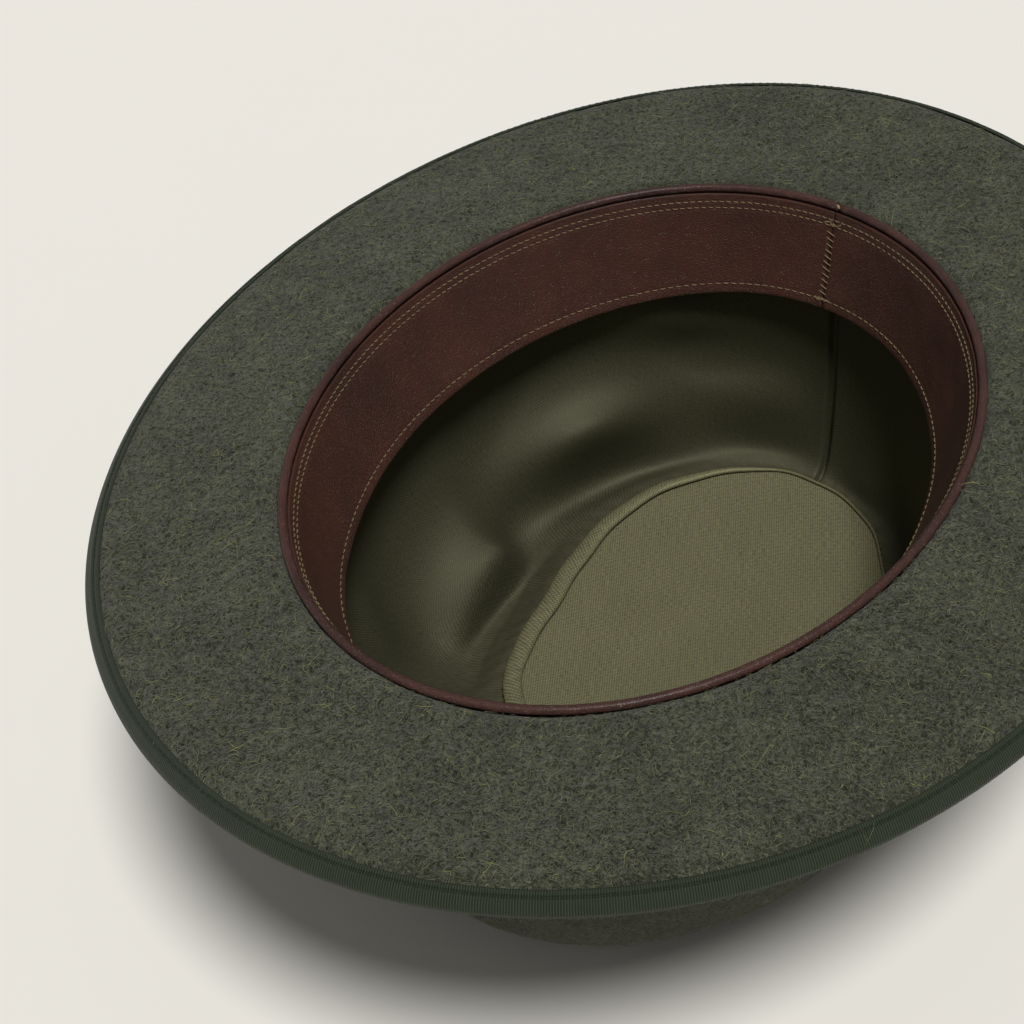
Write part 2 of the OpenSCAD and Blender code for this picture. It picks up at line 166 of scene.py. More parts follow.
class SewingSettings(bpy.types.PropertyGroup):
    """All the rows of stitches."""
    thread: length("Thread", "Diameter of the thread, in millimetres", 0.36, 0.2, 0.8)
    pitch: length("Pitch", "Step from stitch to stitch in the leather, in millimetres", 2.1, 1, 5)
    tan: colour("Tan", "Thread in the leather", 140, 122, 90)
    green: colour("Green", "Thread in the ribbon", 46, 54, 40)
    olive: colour("Olive", "Thread in the lining", 88, 86, 62)


class StudioSettings(bpy.types.PropertyGroup):
    """The floor, lamps and camera."""
    paper: colour("Paper", "Colour of the floor and the background", 241, 238, 231)
    lens: length("Lens", "Focal length of the camera, in millimetres", 79.2, 20, 200)


# ---- Points and rows ----

def angles(count):
    """Even angles all round the hat."""
    return np.radians(np.linspace(0, 360, count, endpoint=False))


def from_back(slit, count):
    """Angles all round from the back seams, short of them by a slit at both ends."""
    return np.linspace(BACK + slit, BACK + 2 * math.pi - slit, count)


def outward(t):
    """Level unit vectors away from the hat's axis, at angles t."""
    return np.stack([np.cos(t), np.sin(t), np.zeros_like(t)], -1)


def oval(a, b, z, t, y=0.0):
    """Points of an oval of half length a and half width b at angles t."""
    return np.stack(np.broadcast_arrays(b * np.cos(t), y + a * np.sin(t), z), -1)


def girth(a, b):
    """The length round an oval."""
    return math.pi * (3 * (a + b) - math.sqrt((3 * a + b) * (a + 3 * b)))


def even_angles(a, b, count, shift=0.5):
    """Angles that step evenly along an oval."""
    s = (np.arange(count) + shift) / count * 2 * math.pi
    return s - (a * a - b * b) / (a * a + b * b) / 4 * np.sin(2 * s)


def arc_angles(a, b, fine):
    """Angles all round an oval at even steps of its length, in full precision."""
    t = np.linspace(0, 2 * math.pi, 7201)
    step = np.hypot(b * np.sin(t), a * np.cos(t))
    run = np.concatenate([[0], np.cumsum((step[1:] + step[:-1]) / 2 * np.diff(t))])
    return np.interp(np.arange(fine) / fine * run[-1], run, t)


def waves(points, size, seed, count=24):
    """Smooth random values from about -1 to 1 with bumps of a size, at points."""
    rng = np.random.default_rng(seed)
    total = np.zeros(points.shape[:-1])
    for _ in range(count):
        way = rng.normal(size=3)
        way *= 2 * math.pi / size / np.linalg.norm(way) * rng.uniform(0.6, 1.5)
        total += np.sin(points @ way + rng.uniform(0, 2 * math.pi))
    return total / math.sqrt(count)


def surface_normals(rows, around=True):
    """Unit normals of a grid of points."""
    if around:
        along = np.roll(rows, -1, 1) - np.roll(rows, 1, 1)
    else:
        along = np.gradient(rows, axis=1)
    normal = np.cross(along, np.gradient(rows, axis=0))
    return normal / np.maximum(np.linalg.norm(normal, axis=-1, keepdims=True), 1e-9)


def lengths_along(points, closed):
    """Running length along a line of points, with the way back to the first if it is closed."""
    ends = np.vstack([points, points[:1]]) if closed else points
    return np.concatenate([[0], np.cumsum(np.linalg.norm(np.diff(ends, axis=0), axis=1))])


def skin(name, rows, finish, loop=False, around=True, lids=False, level=False):
    """A mesh over rows of points. loop joins the last row to the first; around joins each row's ends.

    An open strip that loops gets end walls, and lids close the first and the last row. The cloth's
    threads follow the rows, or lie straight across a level piece.
    """
    m, n = rows.shape[:2]
    i = np.arange(m if loop else m - 1)[:, None]
    j = np.arange(n if around else n - 1)[None, :]
    i2, j2 = (i + 1) % m, (j + 1) % n
    quads = np.stack(np.broadcast_arrays(i * n + j, i * n + j2, i2 * n + j2, i2 * n + j), -1)
    quads = quads.reshape(-1, 4)
    middle = m // 4 if loop else m // 2
    u = lengths_along(rows[middle], around)
    v = lengths_along(rows[:, n // 3], loop)
    cloth_u = np.stack(np.broadcast_arrays(u[j], u[j + 1], u[j + 1], u[j]), -1)
    cloth_v = np.stack(np.broadcast_arrays(v[i], v[i], v[i + 1], v[i + 1]), -1)
    cloth = np.stack(np.broadcast_arrays(cloth_u, cloth_v), -1).reshape(-1, 2)
    if level:
        cloth = rows.reshape(-1, 3)[quads.ravel(), :2]
    extra = []
    if lids:
        extra = [list(range(n))[::-1], [(m - 1) * n + k for k in range(n)]]
    if loop and not around:
        half = m // 2
        for k in range(half - 1):
            a, b, c, d = k, k + 1, m - 2 - k, m - 1 - k
            extra.append([a * n, b * n, c * n, d * n])
            extra.append([d * n + n - 1, c * n + n - 1, b * n + n - 1, a * n + n - 1])
    mesh = bpy.data.meshes.new(name)
    mesh.from_pydata((rows.reshape(-1, 3) * MM).tolist(), [], quads.tolist() + extra)
    layer = mesh.uv_layers.new(name="cloth")
    values = np.zeros((len(mesh.loops), 2))
    values[:len(cloth)] = cloth / CLOTH_UNIT
    layer.data.foreach_set("uv", values.ravel())
    return finish_piece(name, mesh, finish)


def finish_piece(name, mesh, finish):
    """The object of a mesh, smooth, with its material, riding on the hat."""
    mesh.polygons.foreach_set("use_smooth", [True] * len(mesh.polygons))
    mesh.update()
    mesh.validate()
    piece = bpy.data.objects.new(name, mesh)
    bpy.context.scene.collection.objects.link(piece)
    mesh.materials.append(finish.material)
    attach(piece, BODY)
    return piece


def stands_for(piece, slot, *nodes):
    """Hide the CAD nodes that a piece takes the place of. The piece and slot arguments are not used."""
    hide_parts(*nodes)


# ---- Shapes of the felt ----

class Shape:
    """The hat's profile, worked out from the frame and the felt's settings."""

    def __init__(self, felt):
        self.t = felt.thickness
        self.square = felt.squareness
        self.dome_h = RIM_Z + felt.press
        self.bend = felt.break_radius + self.t
        self.hollow = felt.break_radius
        self.brim_z = RIM_Z - felt.proud
        self.bend_z = self.brim_z - self.bend
        self.curl_r = felt.curl_radius
        self.turn = felt.curl_angle
        self.curl_in = self.curl_r * math.sin(self.turn)
        self.curl_z = self.brim_z - felt.fall - self.curl_r
        self.fall = felt.fall
        self.sweep = felt.sweep
        self.dome_end = math.atan((RIM_Z - self.bend_z) / self.dome_h) + 0.012  # just below the bend

    def brim_ring(self, a, b, z, y, raised, t):
        """An oval of the brim. raised is its share of the sweep."""
        return oval(a, b, z - self.sweep * raised * np.cos(2 * t), t, y)

    def curl_ring(self, r, turn, t):
        """An oval of the curled edge."""
        out = r * math.sin(turn) - self.curl_in
        return self.brim_ring(EDGE_A + out, EDGE_B + out, self.curl_z + r * math.cos(turn), EDGE_Y, 1, t)

    def flat_ring(self, s, drop, t):
        """An oval of the brim between the bend (s = 0) and the curl (s = 1), a drop below its face."""
        a = (WALL_A + self.bend) * (1 - s) + (EDGE_A - self.curl_in) * s
        b = (WALL_B + self.bend) * (1 - s) + (EDGE_B - self.curl_in) * s
        return self.brim_ring(a, b, self.brim_z - self.fall * s - drop, EDGE_Y * s, s * s, t)

    def bend_ring(self, r, turn, t):
        """An oval of the turn from the crown to the brim."""
        out = self.bend - r * math.cos(turn)
        return oval(WALL_A + out, WALL_B + out, self.bend_z + r * math.sin(turn), t)

    def dome_ring(self, a, b, h, turn, t):
        """An oval of a crown of half sizes a and b and height h."""
        q = (math.cos(turn) ** self.square + math.sin(turn) ** self.square) ** (-1 / self.square)
        return oval(a * q * math.cos(turn), b * q * math.cos(turn), RIM_Z - h * q * math.sin(turn), t)

    def crown_share(self, z):
        """The crown's width at a height, as a share of its width at the opening."""
        depth = min((RIM_Z - z) / self.dome_h, 0.999)
        return (1 - depth ** self.square) ** (1 / self.square)

    def on_crown(self, z, off, t):
        """Points a distance off the crown's outer face."""
        k = self.crown_share(z)
        return oval((WALL_A + self.t) * k + off, (WALL_B + self.t) * k + off, z, t)

    def outside(self, t):
        """Rows of the outer face: from the middle of the crown's top to the brim's edge."""
        rows = [self.dome_ring(WALL_A + self.t, WALL_B + self.t, self.dome_h, u, t)
                for u in np.linspace(math.radians(89.6), self.dome_end, 56)]
        rows += [self.bend_ring(self.hollow, u, t) for u in np.radians(np.linspace(0, 90, 6))]
        rows += [self.flat_ring(s, self.t, t) for s in np.linspace(0, 1, 26)[1:-1]]
        rows += [self.curl_ring(self.curl_r - self.t, u, t) for u in np.linspace(0, self.turn, 14)]
        return np.array(rows)

    def inside(self, t):
        """Rows of the face that lies up: from the brim's edge to the middle of the dome's inside."""
        rows = [self.curl_ring(self.curl_r, u, t) for u in np.linspace(self.turn, 0, 18)]
        rows += [self.flat_ring(s, 0, t) for s in np.linspace(1, 0, 40)[1:-1]]
        rows += [self.bend_ring(self.bend, u, t) for u in np.radians(np.linspace(90, 0, 10))]
        rows += [self.dome_ring(WALL_A, WALL_B, RIM_Z - self.t, u, t)
                 for u in np.linspace(self.dome_end, math.radians(89), 24)]
        return np.array(rows)


# ---- Materials ----

class Flow:
    """A node's output. Sums on it add the Math nodes that work them out."""

    def __init__(self, finish, socket):
        self.finish = finish
        self.socket = socket

    def sum(self, operation, *others):
        """A Math node with this value first."""
        return self.finish.node("ShaderNodeMath", {"operation": operation}, [self, *others])

    def flipped(self, operation, other):
        """A Math node with this value second."""
        return self.finish.node("ShaderNodeMath", {"operation": operation}, [other, self])

    def __add__(self, other): return self.sum("ADD", other)
    def __radd__(self, other): return self.flipped("ADD", other)
    def __sub__(self, other): return self.sum("SUBTRACT", other)
    def __rsub__(self, other): return self.flipped("SUBTRACT", other)
    def __mul__(self, other): return self.sum("MULTIPLY", other)
    def __rmul__(self, other): return self.flipped("MULTIPLY", other)
    def __truediv__(self, other): return self.sum("DIVIDE", other)
    def __pow__(self, other): return self.sum("POWER", other)
    def __abs__(self): return self.sum("ABSOLUTE")

    def clamp(self):
        return self.finish.node("ShaderNodeClamp", {}, [self])

    def spread(self, low, high):
        """0 at low and 1 at high, clamped."""
        return self.finish.node("ShaderNodeMapRange", {"clamp": True, "interpolation_type": "SMOOTHSTEP"},
                                {"Value": self, "From Min": low, "From Max": high})


class Finish:
    """One material. node() makes any node and returns its output as a Flow."""

    def __init__(self, name):
        self.material = bpy.data.materials.new(name)
        self.material.use_nodes = True
        self.tree = self.material.node_tree
        self.tree.nodes.clear()

    def node(self, kind, settings=None, inputs=None, out=0):
        made = self.tree.nodes.new(kind)
        for key, value in (settings or {}).items():
            setattr(made, key, value)
        pairs = inputs.items() if isinstance(inputs, dict) else enumerate(inputs or [])
        for key, value in pairs:
            self.put(made.inputs[key], value)
        return Flow(self, made.outputs[out])

    def put(self, socket, value):
        if isinstance(value, Flow):
            self.tree.links.new(value.socket, socket)
        else:
            socket.default_value = value

    def place(self):
        """Where a point lies on the hat, in millimetres."""
        at = self.node("ShaderNodeTexCoord", out="Object")
        return self.node("ShaderNodeVectorMath", {"operation": "SCALE"}, {0: at, "Scale": 1 / MM})

    def cloth(self):
        """Where a point lies along (x) and across (y) the cloth, in millimetres."""
        at = self.node("ShaderNodeUVMap", {"uv_map": "cloth"})
        return self.node("ShaderNodeVectorMath", {"operation": "SCALE"}, {0: at, "Scale": CLOTH_UNIT})

    def part(self, vector, axis):
        return self.node("ShaderNodeSeparateXYZ", {}, [vector], out=axis)

    def turned(self, vector, angle, scale):
        """The vector turned about Z and then stretched."""
        return self.node("ShaderNodeMapping", {"vector_type": "TEXTURE"},
                         {"Vector": vector, "Rotation": (0.0, 0.0, angle), "Scale": scale})

    def noise(self, vector, size, detail=2.0, roughness=0.5):
        return self.node("ShaderNodeTexNoise", {}, {"Vector": vector, "Scale": 1 / size, "Detail": detail,
                                                    "Roughness": roughness})

    def cells(self, vector, size, feature="F1"):
        return self.node("ShaderNodeTexVoronoi", {"feature": feature}, {"Vector": vector, "Scale": 1 / size})

    def wave(self, flow, pitch):
        """A sine from 0 to 1 along a length."""
        return (flow * (2 * math.pi / pitch)).sum("SINE") * 0.5 + 0.5

    def blend(self, factor, low, high):
        """A colour between two colours."""
        low, high = (c if isinstance(c, Flow) else (*c, 1.0) for c in (low, high))
        return self.node("ShaderNodeMix", {"data_type": "RGBA"}, {0: factor, 6: low, 7: high}, out=2)

    def bump(self, height, depth, strength=1.0):
        """A normal from a height of 0 to 1 that stands for a depth in millimetres."""
        return self.node("ShaderNodeBump", {},
                         {"Height": height, "Distance": depth * MM, "Strength": strength})

    def surface(self, **sockets):
        """The shader, from its sockets' names with _ for a space."""
        inputs = {key.replace("_", " "): value for key, value in sockets.items()}
        shader = self.node("ShaderNodeBsdfPrincipled", {}, inputs)
        output = self.tree.nodes.new("ShaderNodeOutputMaterial")
        self.put(output.inputs["Surface"], shader)
        return self


# The layers of the felt's fibres: the way that they lie, and their length and width in millimetres
FIBRES = ((0.35, 2.4, 0.40), (1.05, 2.1, 0.36), (1.75, 2.4, 0.40), (2.45, 1.9, 0.34), (2.95, 1.6, 0.34))


def felt_finish(felt):
    """Heather felt: dark wool under matted fibres that lie every way, paler in clumps."""
    f = Finish("felt")
    at = f.place()
    swirl = f.node("ShaderNodeTexNoise", {}, {"Vector": at, "Scale": 0.30, "Detail": 1.0}, out=1)
    bent = f.node("ShaderNodeVectorMath", {"operation": "MULTIPLY_ADD"}, [swirl, (3.0, 3.0, 3.0), at])
    cloud = f.noise(at, 15, 3, 0.6)
    clump = f.noise(at, 2.0, 3, 0.7)
    fibres = None
    for turn, long, wide in FIBRES:
        strand = f.noise(f.turned(bent, turn, (long, wide, wide)), 1.0, 0.0, 0.5)
        patch = f.noise(f.turned(bent, turn, (long * 0.8, wide * 1.6, wide * 1.6)), 1.0, 0.0, 0.5)
        ridge = (1 - abs(strand * 2 - 1) * 4.6).clamp() * patch.spread(0.36, 0.66)
        fibres = ridge if fibres is None else fibres.sum("MAXIMUM", ridge)
    tone = (cloud.spread(0.3, 0.7) * 0.45 + clump.spread(0.3, 0.7) * 0.55).clamp()
    wool = f.blend(tone, felt.ground, felt.wool)
    grey = (f.noise(at, 3.4, 2, 0.6).spread(0.52, 0.72) * 0.6).clamp()
    wool = f.blend(grey, wool, felt.cool)
    wool = f.blend((fibres * (tone * 0.55 + 0.5)).clamp(), wool, felt.pale)
    height = fibres * 0.9 + clump * 0.4
    return f.surface(Base_Color=wool, Roughness=0.95, Specular_IOR_Level=0.05,
                     Sheen_Weight=0.14, Sheen_Roughness=0.3, Normal=f.bump(height, 0.16, 1.0))


def hair_finish(felt):
    """Loose hairs, from grey to yellow green along the hat."""
    f = Finish("hair")
    pick = f.noise(f.place(), 3.0, 2, 0.6).spread(0.35, 0.65)
    return f.surface(Base_Color=f.blend(pick, felt.pale, felt.hair), Roughness=0.7, Specular_IOR_Level=0.3)


def ribbon_finish(name, ribbon):
    """Grosgrain: ribs across the ribbon, crossed by fine warp threads."""
    f = Finish(name)
    cloth = f.cloth()
    rib = f.wave(f.part(cloth, "X"), ribbon.rib_pitch)
    warp = f.wave(f.part(cloth, "Y"), 0.42)
    worn = f.noise(f.place(), 6, 3, 0.6)
    yarn = f.noise(f.turned(cloth, 0.0, (0.25, 1.2, 1.0)), 1.0, 2, 0.6)
    # The rib and warp waves darken the colour between the ribs and threads and lighten it on top: painted shade
    # and painted light. Worn and yarn add random tone.
    tone = (rib ** 0.8 * 0.62 + warp * 0.14 + worn * 0.22 + yarn * 0.18 - 0.1).clamp()
    height = rib * 0.8 + warp * 0.25 * rib + yarn * 0.15
    return f.surface(Base_Color=f.blend(tone, ribbon.dark, ribbon.light), Roughness=0.62,
                     Specular_IOR_Level=0.25, Sheen_Weight=0.04, Sheen_Roughness=0.4,
                     Normal=f.bump(height, 0.2, 0.9))


def leather_finish(name, dark, brown, grain_size, gloss):
    """Smooth leather with a fine grain, small pores and softly uneven dye."""
    f = Finish(name)
    at = f.place()
    creases = f.cells(at, grain_size, "DISTANCE_TO_EDGE").spread(0.0, 0.22)
    fine = f.noise(at, grain_size * 0.6, 3, 0.6)
    pores = f.cells(at, grain_size * 1.9).spread(0.10, 0.24)
    dye = f.noise(at, 22, 4, 0.6)
    tone = (dye.spread(0.25, 0.75) * 0.6 + creases * 0.22 + fine * 0.22).clamp()
    rough = gloss + fine * 0.16 + (1 - creases) * 0.08
    height = creases * 0.6 + fine * 0.35 + pores * 0.35
    return f.surface(Base_Color=f.blend(tone, dark, brown), Roughness=rough, Specular_IOR_Level=0.45,
                     Coat_Weight=0.16, Coat_Roughness=0.35, Normal=f.bump(height, 0.3, 0.9))


def satin_finish(name, deep, olive, gloss, shine):
    """Satin: a fine weave of warp over weft, with a soft sheen in its own colour."""
    f = Finish(name)
    cloth = f.cloth()
    warp = f.wave(f.part(cloth, "X") + f.part(cloth, "Y") * 0.6, 0.8)
    weft = f.wave(f.part(cloth, "Y") - f.part(cloth, "X") * 0.5, 0.62)
    yarn = f.noise(f.turned(cloth, 0.67, (1.4, 0.22, 1.0)), 1.0, 2, 0.6)
    slub = f.noise(f.turned(cloth, 0.0, (0.3, 3.0, 1.0)), 1.0, 2, 0.6)
    cloud = f.noise(f.place(), 14, 2, 0.5)
    tone = (warp * weft * 0.7 + yarn.spread(0.3, 0.7) * 0.45 + slub * 0.15 + cloud * 0.1 - 0.1).clamp()
    height = warp * 0.5 + weft * 0.35 + yarn * 0.4
    return f.surface(Base_Color=f.blend(tone, deep, olive), Roughness=gloss + yarn * 0.08, Metallic=0.3,
                     Specular_IOR_Level=shine, Specular_Tint=(0.86, 0.84, 0.62, 1),
                     Normal=f.bump(height, 0.05, 0.6))


def thread_finish(name, tint):
    """Twisted thread."""
    f = Finish(name)
    at = f.place()
    twist = f.noise(at, 0.22, 2, 0.6)
    worn = f.noise(at, 7, 2, 0.5).spread(0.3, 0.7)
    dark = tuple(0.45 * v for v in tint)
    return f.surface(Base_Color=f.blend((twist * 0.8 + worn * 0.35).clamp(), dark, tint), Roughness=0.75,
                     Specular_IOR_Level=0.3, Normal=f.bump(twist, 0.08, 0.8))


def cane_finish():
    """The plain cord inside the piping."""
    f = Finish("cane")
    at = f.place()
    grain = f.noise(f.turned(at, 0.0, (6.0, 6.0, 0.4)), 1.0, 3, 0.6)
    return f.surface(Base_Color=f.blend(grain, (0.28, 0.20, 0.09), (0.52, 0.41, 0.22)), Roughness=0.5,
                     Normal=f.bump(grain, 0.05))


def paper_finish(studio):
    """The floor: pale paper, all but even."""
    f = Finish("paper")
    grain = f.noise(f.place(), 60, 2, 0.5)
    tint = tuple(studio.paper)
    return f.surface(Base_Color=f.blend(grain, tuple(0.99 * v for v in tint), tint), Roughness=1.0,
                     Specular_IOR_Level=0.0)


FINISHES = {}


def finish_of(context, key):
    """A finish by name, made once."""
    scene = context.scene
    leather, satin, sewing = scene.hat_leather, scene.hat_satin, scene.hat_sewing
    makers = {
        "felt": lambda: felt_finish(scene.hat_felt),
        "hair": lambda: hair_finish(scene.hat_felt),
        "grosgrain": lambda: ribbon_finish(key, scene.hat_ribbon),
        "tape": lambda: ribbon_finish(key, scene.hat_ribbon),
        "band_leather": lambda: leather_finish(key, leather.dark, leather.brown, 0.55, 0.40),
        "piping_leather": lambda: leather_finish(key, leather.piping_dark, leather.piping_brown, 0.5, 0.30),
        "satin": lambda: satin_finish(key, satin.deep, satin.olive, 0.55, 0.4),
        # The side's satin takes the darker side colours: painted shade on the side's walls.
        "satin_side_painted_shade": lambda: satin_finish(key, satin.side_deep_painted_shade, satin.side_olive_painted_shade, 0.66, 1.0),
        "tan_thread": lambda: thread_finish(key, sewing.tan),
        "green_thread": lambda: thread_finish(key, sewing.green),
        "olive_thread": lambda: thread_finish(key, sewing.olive),
        "cane": cane_finish,
    }
    if key not in FINISHES:
        FINISHES[key] = makers[key]()
    return FINISHES[key]


# ---- Felt and hairs ----

def felt_rows(shape, count=400):
    """The felt body's rows with the faint unevenness of blocked felt."""
    t = angles(count)
    rows = np.concatenate([shape.outside(t), shape.inside(t)])
    outer = len(shape.outside(t[:1]))
    normal = surface_normals(rows)
    normal[outer - 1:outer + 1] = 0
    return rows + normal * (0.10 * waves(rows, 34, 3) + 0.05 * waves(rows, 9, 4))[..., None]


class HAT_OT_felt(bpy.types.Operator):
    """Build the felt body: crown and brim in one piece"""
    bl_idname = "hat.felt"
    bl_label = "Felt body"

    def execute(self, context):
        shape = Shape(context.scene.hat_felt)
        rows = felt_rows(shape)
        rows[..., 2] = np.maximum(rows[..., 2], 0.0)
        piece = skin("felt", rows, finish_of(context, "felt"), lids=True)
        stands_for(piece, "felt", "felt_body")
        return {"FINISHED"}


def hair_tubes(starts, ways, ups, long, lift, width, rng):
    """Thin three-sided tubes that curve along a surface: arrays of starts, directions and normals."""
    count, rings = len(starts), 5
    side = np.cross(ups, ways)
    s = np.linspace(0, 1, rings)[None, :, None]
    bend = rng.normal(0, 0.28, (count, 1, 1))
    wave = rng.normal(0, 0.10, (count, 1, 1))
    path = (starts[:, None] + ways[:, None] * s * long[:, None, None]
            + side[:, None] * (bend * s * s + wave * np.sin(s * 5)) * long[:, None, None]
            + ups[:, None] * (lift[:, None, None] * np.sin(s * math.pi) + 0.03))
    thick = width[:, None, None] * (1 - 0.75 * s ** 2)
    corners = []
    for turn in (0, 2 * math.pi / 3, 4 * math.pi / 3):
        corners.append(path + thick * (side[:, None] * math.cos(turn) + ups[:, None] * math.sin(turn)))
    points = np.stack(corners, 2).reshape(-1, 3)
    base = (np.arange(count) * rings * 3)[:, None, None]
    ring = (np.arange(rings - 1) * 3)[None, :, None]
    k = np.arange(3)[None, None, :]
    a, b = base + ring + k, base + ring + (k + 1) % 3
    quads = np.stack([a, b, b + 3, a + 3], -1).reshape(-1, 4)
    return points, quads


def area_sample(rows, count, rng):
    """Random points spread evenly over a grid surface, with its normals and its way along the rows."""
    normal = surface_normals(rows)
    along = np.roll(rows, -1, 1) - rows
    down = np.diff(rows, axis=0)
    area = np.linalg.norm(np.cross(along[:-1], down), axis=-1)
    pick = rng.choice(area.size, count, p=area.ravel() / area.sum())
    i, j = np.unravel_index(pick, area.shape)
    u, v = rng.random((2, count, 1))
    start = rows[i, j] + along[i, j] * u + down[i, j] * v
    up = normal[i, j]
    first = along[i, j] / np.linalg.norm(along[i, j], axis=-1, keepdims=True)
    return start, up, first


class HAT_OT_hairs(bpy.types.Operator):
    """Lay loose hairs over the felt"""
    bl_idname = "hat.hairs"
    bl_label = "Loose hairs"

    SEED = 11
    SHARES = (0.62, 0.38)  # of the hairs: on the face that lies up, and on the face that lies down
    BOLD = 0.05  # share of the hairs that are long and thick
    CLEAR = 2.0  # no hair starts this near to the table

    def execute(self, context):
        felt = context.scene.hat_felt
        shape = Shape(felt)
        t = angles(240)
        rng = np.random.default_rng(self.SEED)
        points, quads, used = [], [], 0
        upper = shape.inside(t)[8:66]  # from inside the binding to just over the bend
        lower = shape.outside(t)[4:-6]
        lower = lower[lower[:, 0, 2] > self.CLEAR]
        for rows, part in zip((upper, lower), self.SHARES):
            count = int(felt.hairs * part)
            start, up, first = area_sample(rows, count, rng)
            up = up * self.away(rows)
            turn = rng.uniform(0, 2 * math.pi, (count, 1))
            way = first * np.cos(turn) + np.cross(up, first) * np.sin(turn)
            bold = rng.random(count) < self.BOLD
            long = np.where(bold, rng.uniform(3.0, 7.0, count), rng.uniform(0.8, 2.6, count))
            lift = rng.uniform(0.05, 0.35, count) * np.minimum(long / 2, 1.5)
            width = np.where(bold, rng.uniform(0.06, 0.09, count), rng.uniform(0.04, 0.07, count))
            p, q = hair_tubes(start, way, up, long, lift, width, rng)
            points.append(p)
            quads.append(q + used)
            used += len(p)
        mesh = bpy.data.meshes.new("felt_hairs")
        mesh.from_pydata((np.concatenate(points) * MM).tolist(), [], np.concatenate(quads).tolist())
        piece = finish_piece("felt_hairs", mesh, finish_of(context, "hair"))
        return {"FINISHED"}

    @staticmethod
    def away(rows):
        """1 or -1, so that the normals of the rows point away from the felt."""
        normal = surface_normals(rows)
        middle = normal[len(rows) // 2, 0]
        upper = rows[..., 2].min() > RIM_Z / 2
        return 1 if (middle[2] > 0) == upper else -1


# ---- Ribbon ----

class HAT_OT_binding(bpy.types.Operator):
    """Fold the ribbon over the brim's edge"""
    bl_idname = "hat.binding"
    bl_label = "Brim binding"

    SEWN = 1.7  # from the binding's inner edge to its row of stitches
    GROOVE, GROOVE_WIDE = 0.30, 0.35  # how deep and wide the row draws the ribbon in
    SWELL, SWELL_WIDE, SWELL_OFF = 0.10, 0.5, 0.9  # the soft ridge beside the row
    WORN = 0.25  # how far its edges are rounded, and over what width

    def execute(self, context):
        ribbon = context.scene.hat_ribbon
        shape = Shape(context.scene.hat_felt)
        around = girth(EDGE_A, EDGE_B)
        t = arc_angles(EDGE_A, EDGE_B, 1440)
        start = shape.turn - ribbon.binding_width / shape.curl_r
        off = GAP * 0.5

        def face(away):
            half = shape.t / 2 + away
            mid = shape.curl_r - shape.t / 2
            rows = [shape.curl_ring(shape.curl_r + away, u, t) for u in np.linspace(start, shape.turn, 26)]
            for u in np.radians([30, 60, 90, 120, 150]):
                r, past = mid + half * math.cos(u), half * math.sin(u)
                out = r * math.sin(shape.turn) + past * math.cos(shape.turn) - shape.curl_in
                up = r * math.cos(shape.turn) - past * math.sin(shape.turn)
                rows.append(shape.brim_ring(EDGE_A + out, EDGE_B + out, shape.curl_z + up, EDGE_Y, 1, t))
            rows += [shape.curl_ring(shape.curl_r - shape.t - away, u, t)
                     for u in np.linspace(shape.turn, start, 8)]
            return np.array(rows)

        outer = face(off + ribbon.thickness)
        normal = outer - face(off)
        normal /= np.linalg.norm(normal, axis=-1, keepdims=True)
        across = lengths_along(outer[:, 0], False)
        groove = (-self.GROOVE * np.exp(-((across - self.SEWN) / self.GROOVE_WIDE) ** 2)
                  + self.SWELL * np.exp(-((across - self.SEWN - self.SWELL_OFF) / self.SWELL_WIDE) ** 2))
        edges = (-self.WORN * np.exp(-across / self.WORN)
                 - self.WORN * np.exp(-(across[-1] - across) / self.WORN))
        gather = 0.06 * waves(outer, 5, 14) * np.exp(-(across / 3) ** 2)[:, None]
        outer = outer + normal * ((groove + edges)[:, None] + gather)[..., None]
        rows = np.concatenate([outer, face(off)[::-1]])
        piece = skin("binding", rows, finish_of(context, "grosgrain"), loop=True)
        stands_for(piece, "grosgrain", "brim_binding")
        round(around * MM, 4)
        return {"FINISHED"}


class HAT_OT_band(bpy.types.Operator):
    """Wrap the ribbon round the crown"""
    bl_idname = "hat.band"
    bl_label = "Hat band"

    def execute(self, context):
        ribbon = context.scene.hat_ribbon
        shape = Shape(context.scene.hat_felt)
        around = girth(BAND.half[1], BAND.half[0])
        t = arc_angles(BAND.half[1], BAND.half[0], 720)
        low, high = BAND.low[2], BAND.high[2]
        heights = np.linspace(low, high, 14)
        rows = [shape.on_crown(z, GAP + ribbon.thickness, t) for z in heights]
        rows += [shape.on_crown(z, GAP, t) for z in heights[::-1]]
        piece = skin("band", np.array(rows), finish_of(context, "grosgrain"), loop=True)
        stands_for(piece, "grosgrain", "hat_band")
        round((high - low) * MM, 4)
        round(around * MM, 4)
        return {"FINISHED"}


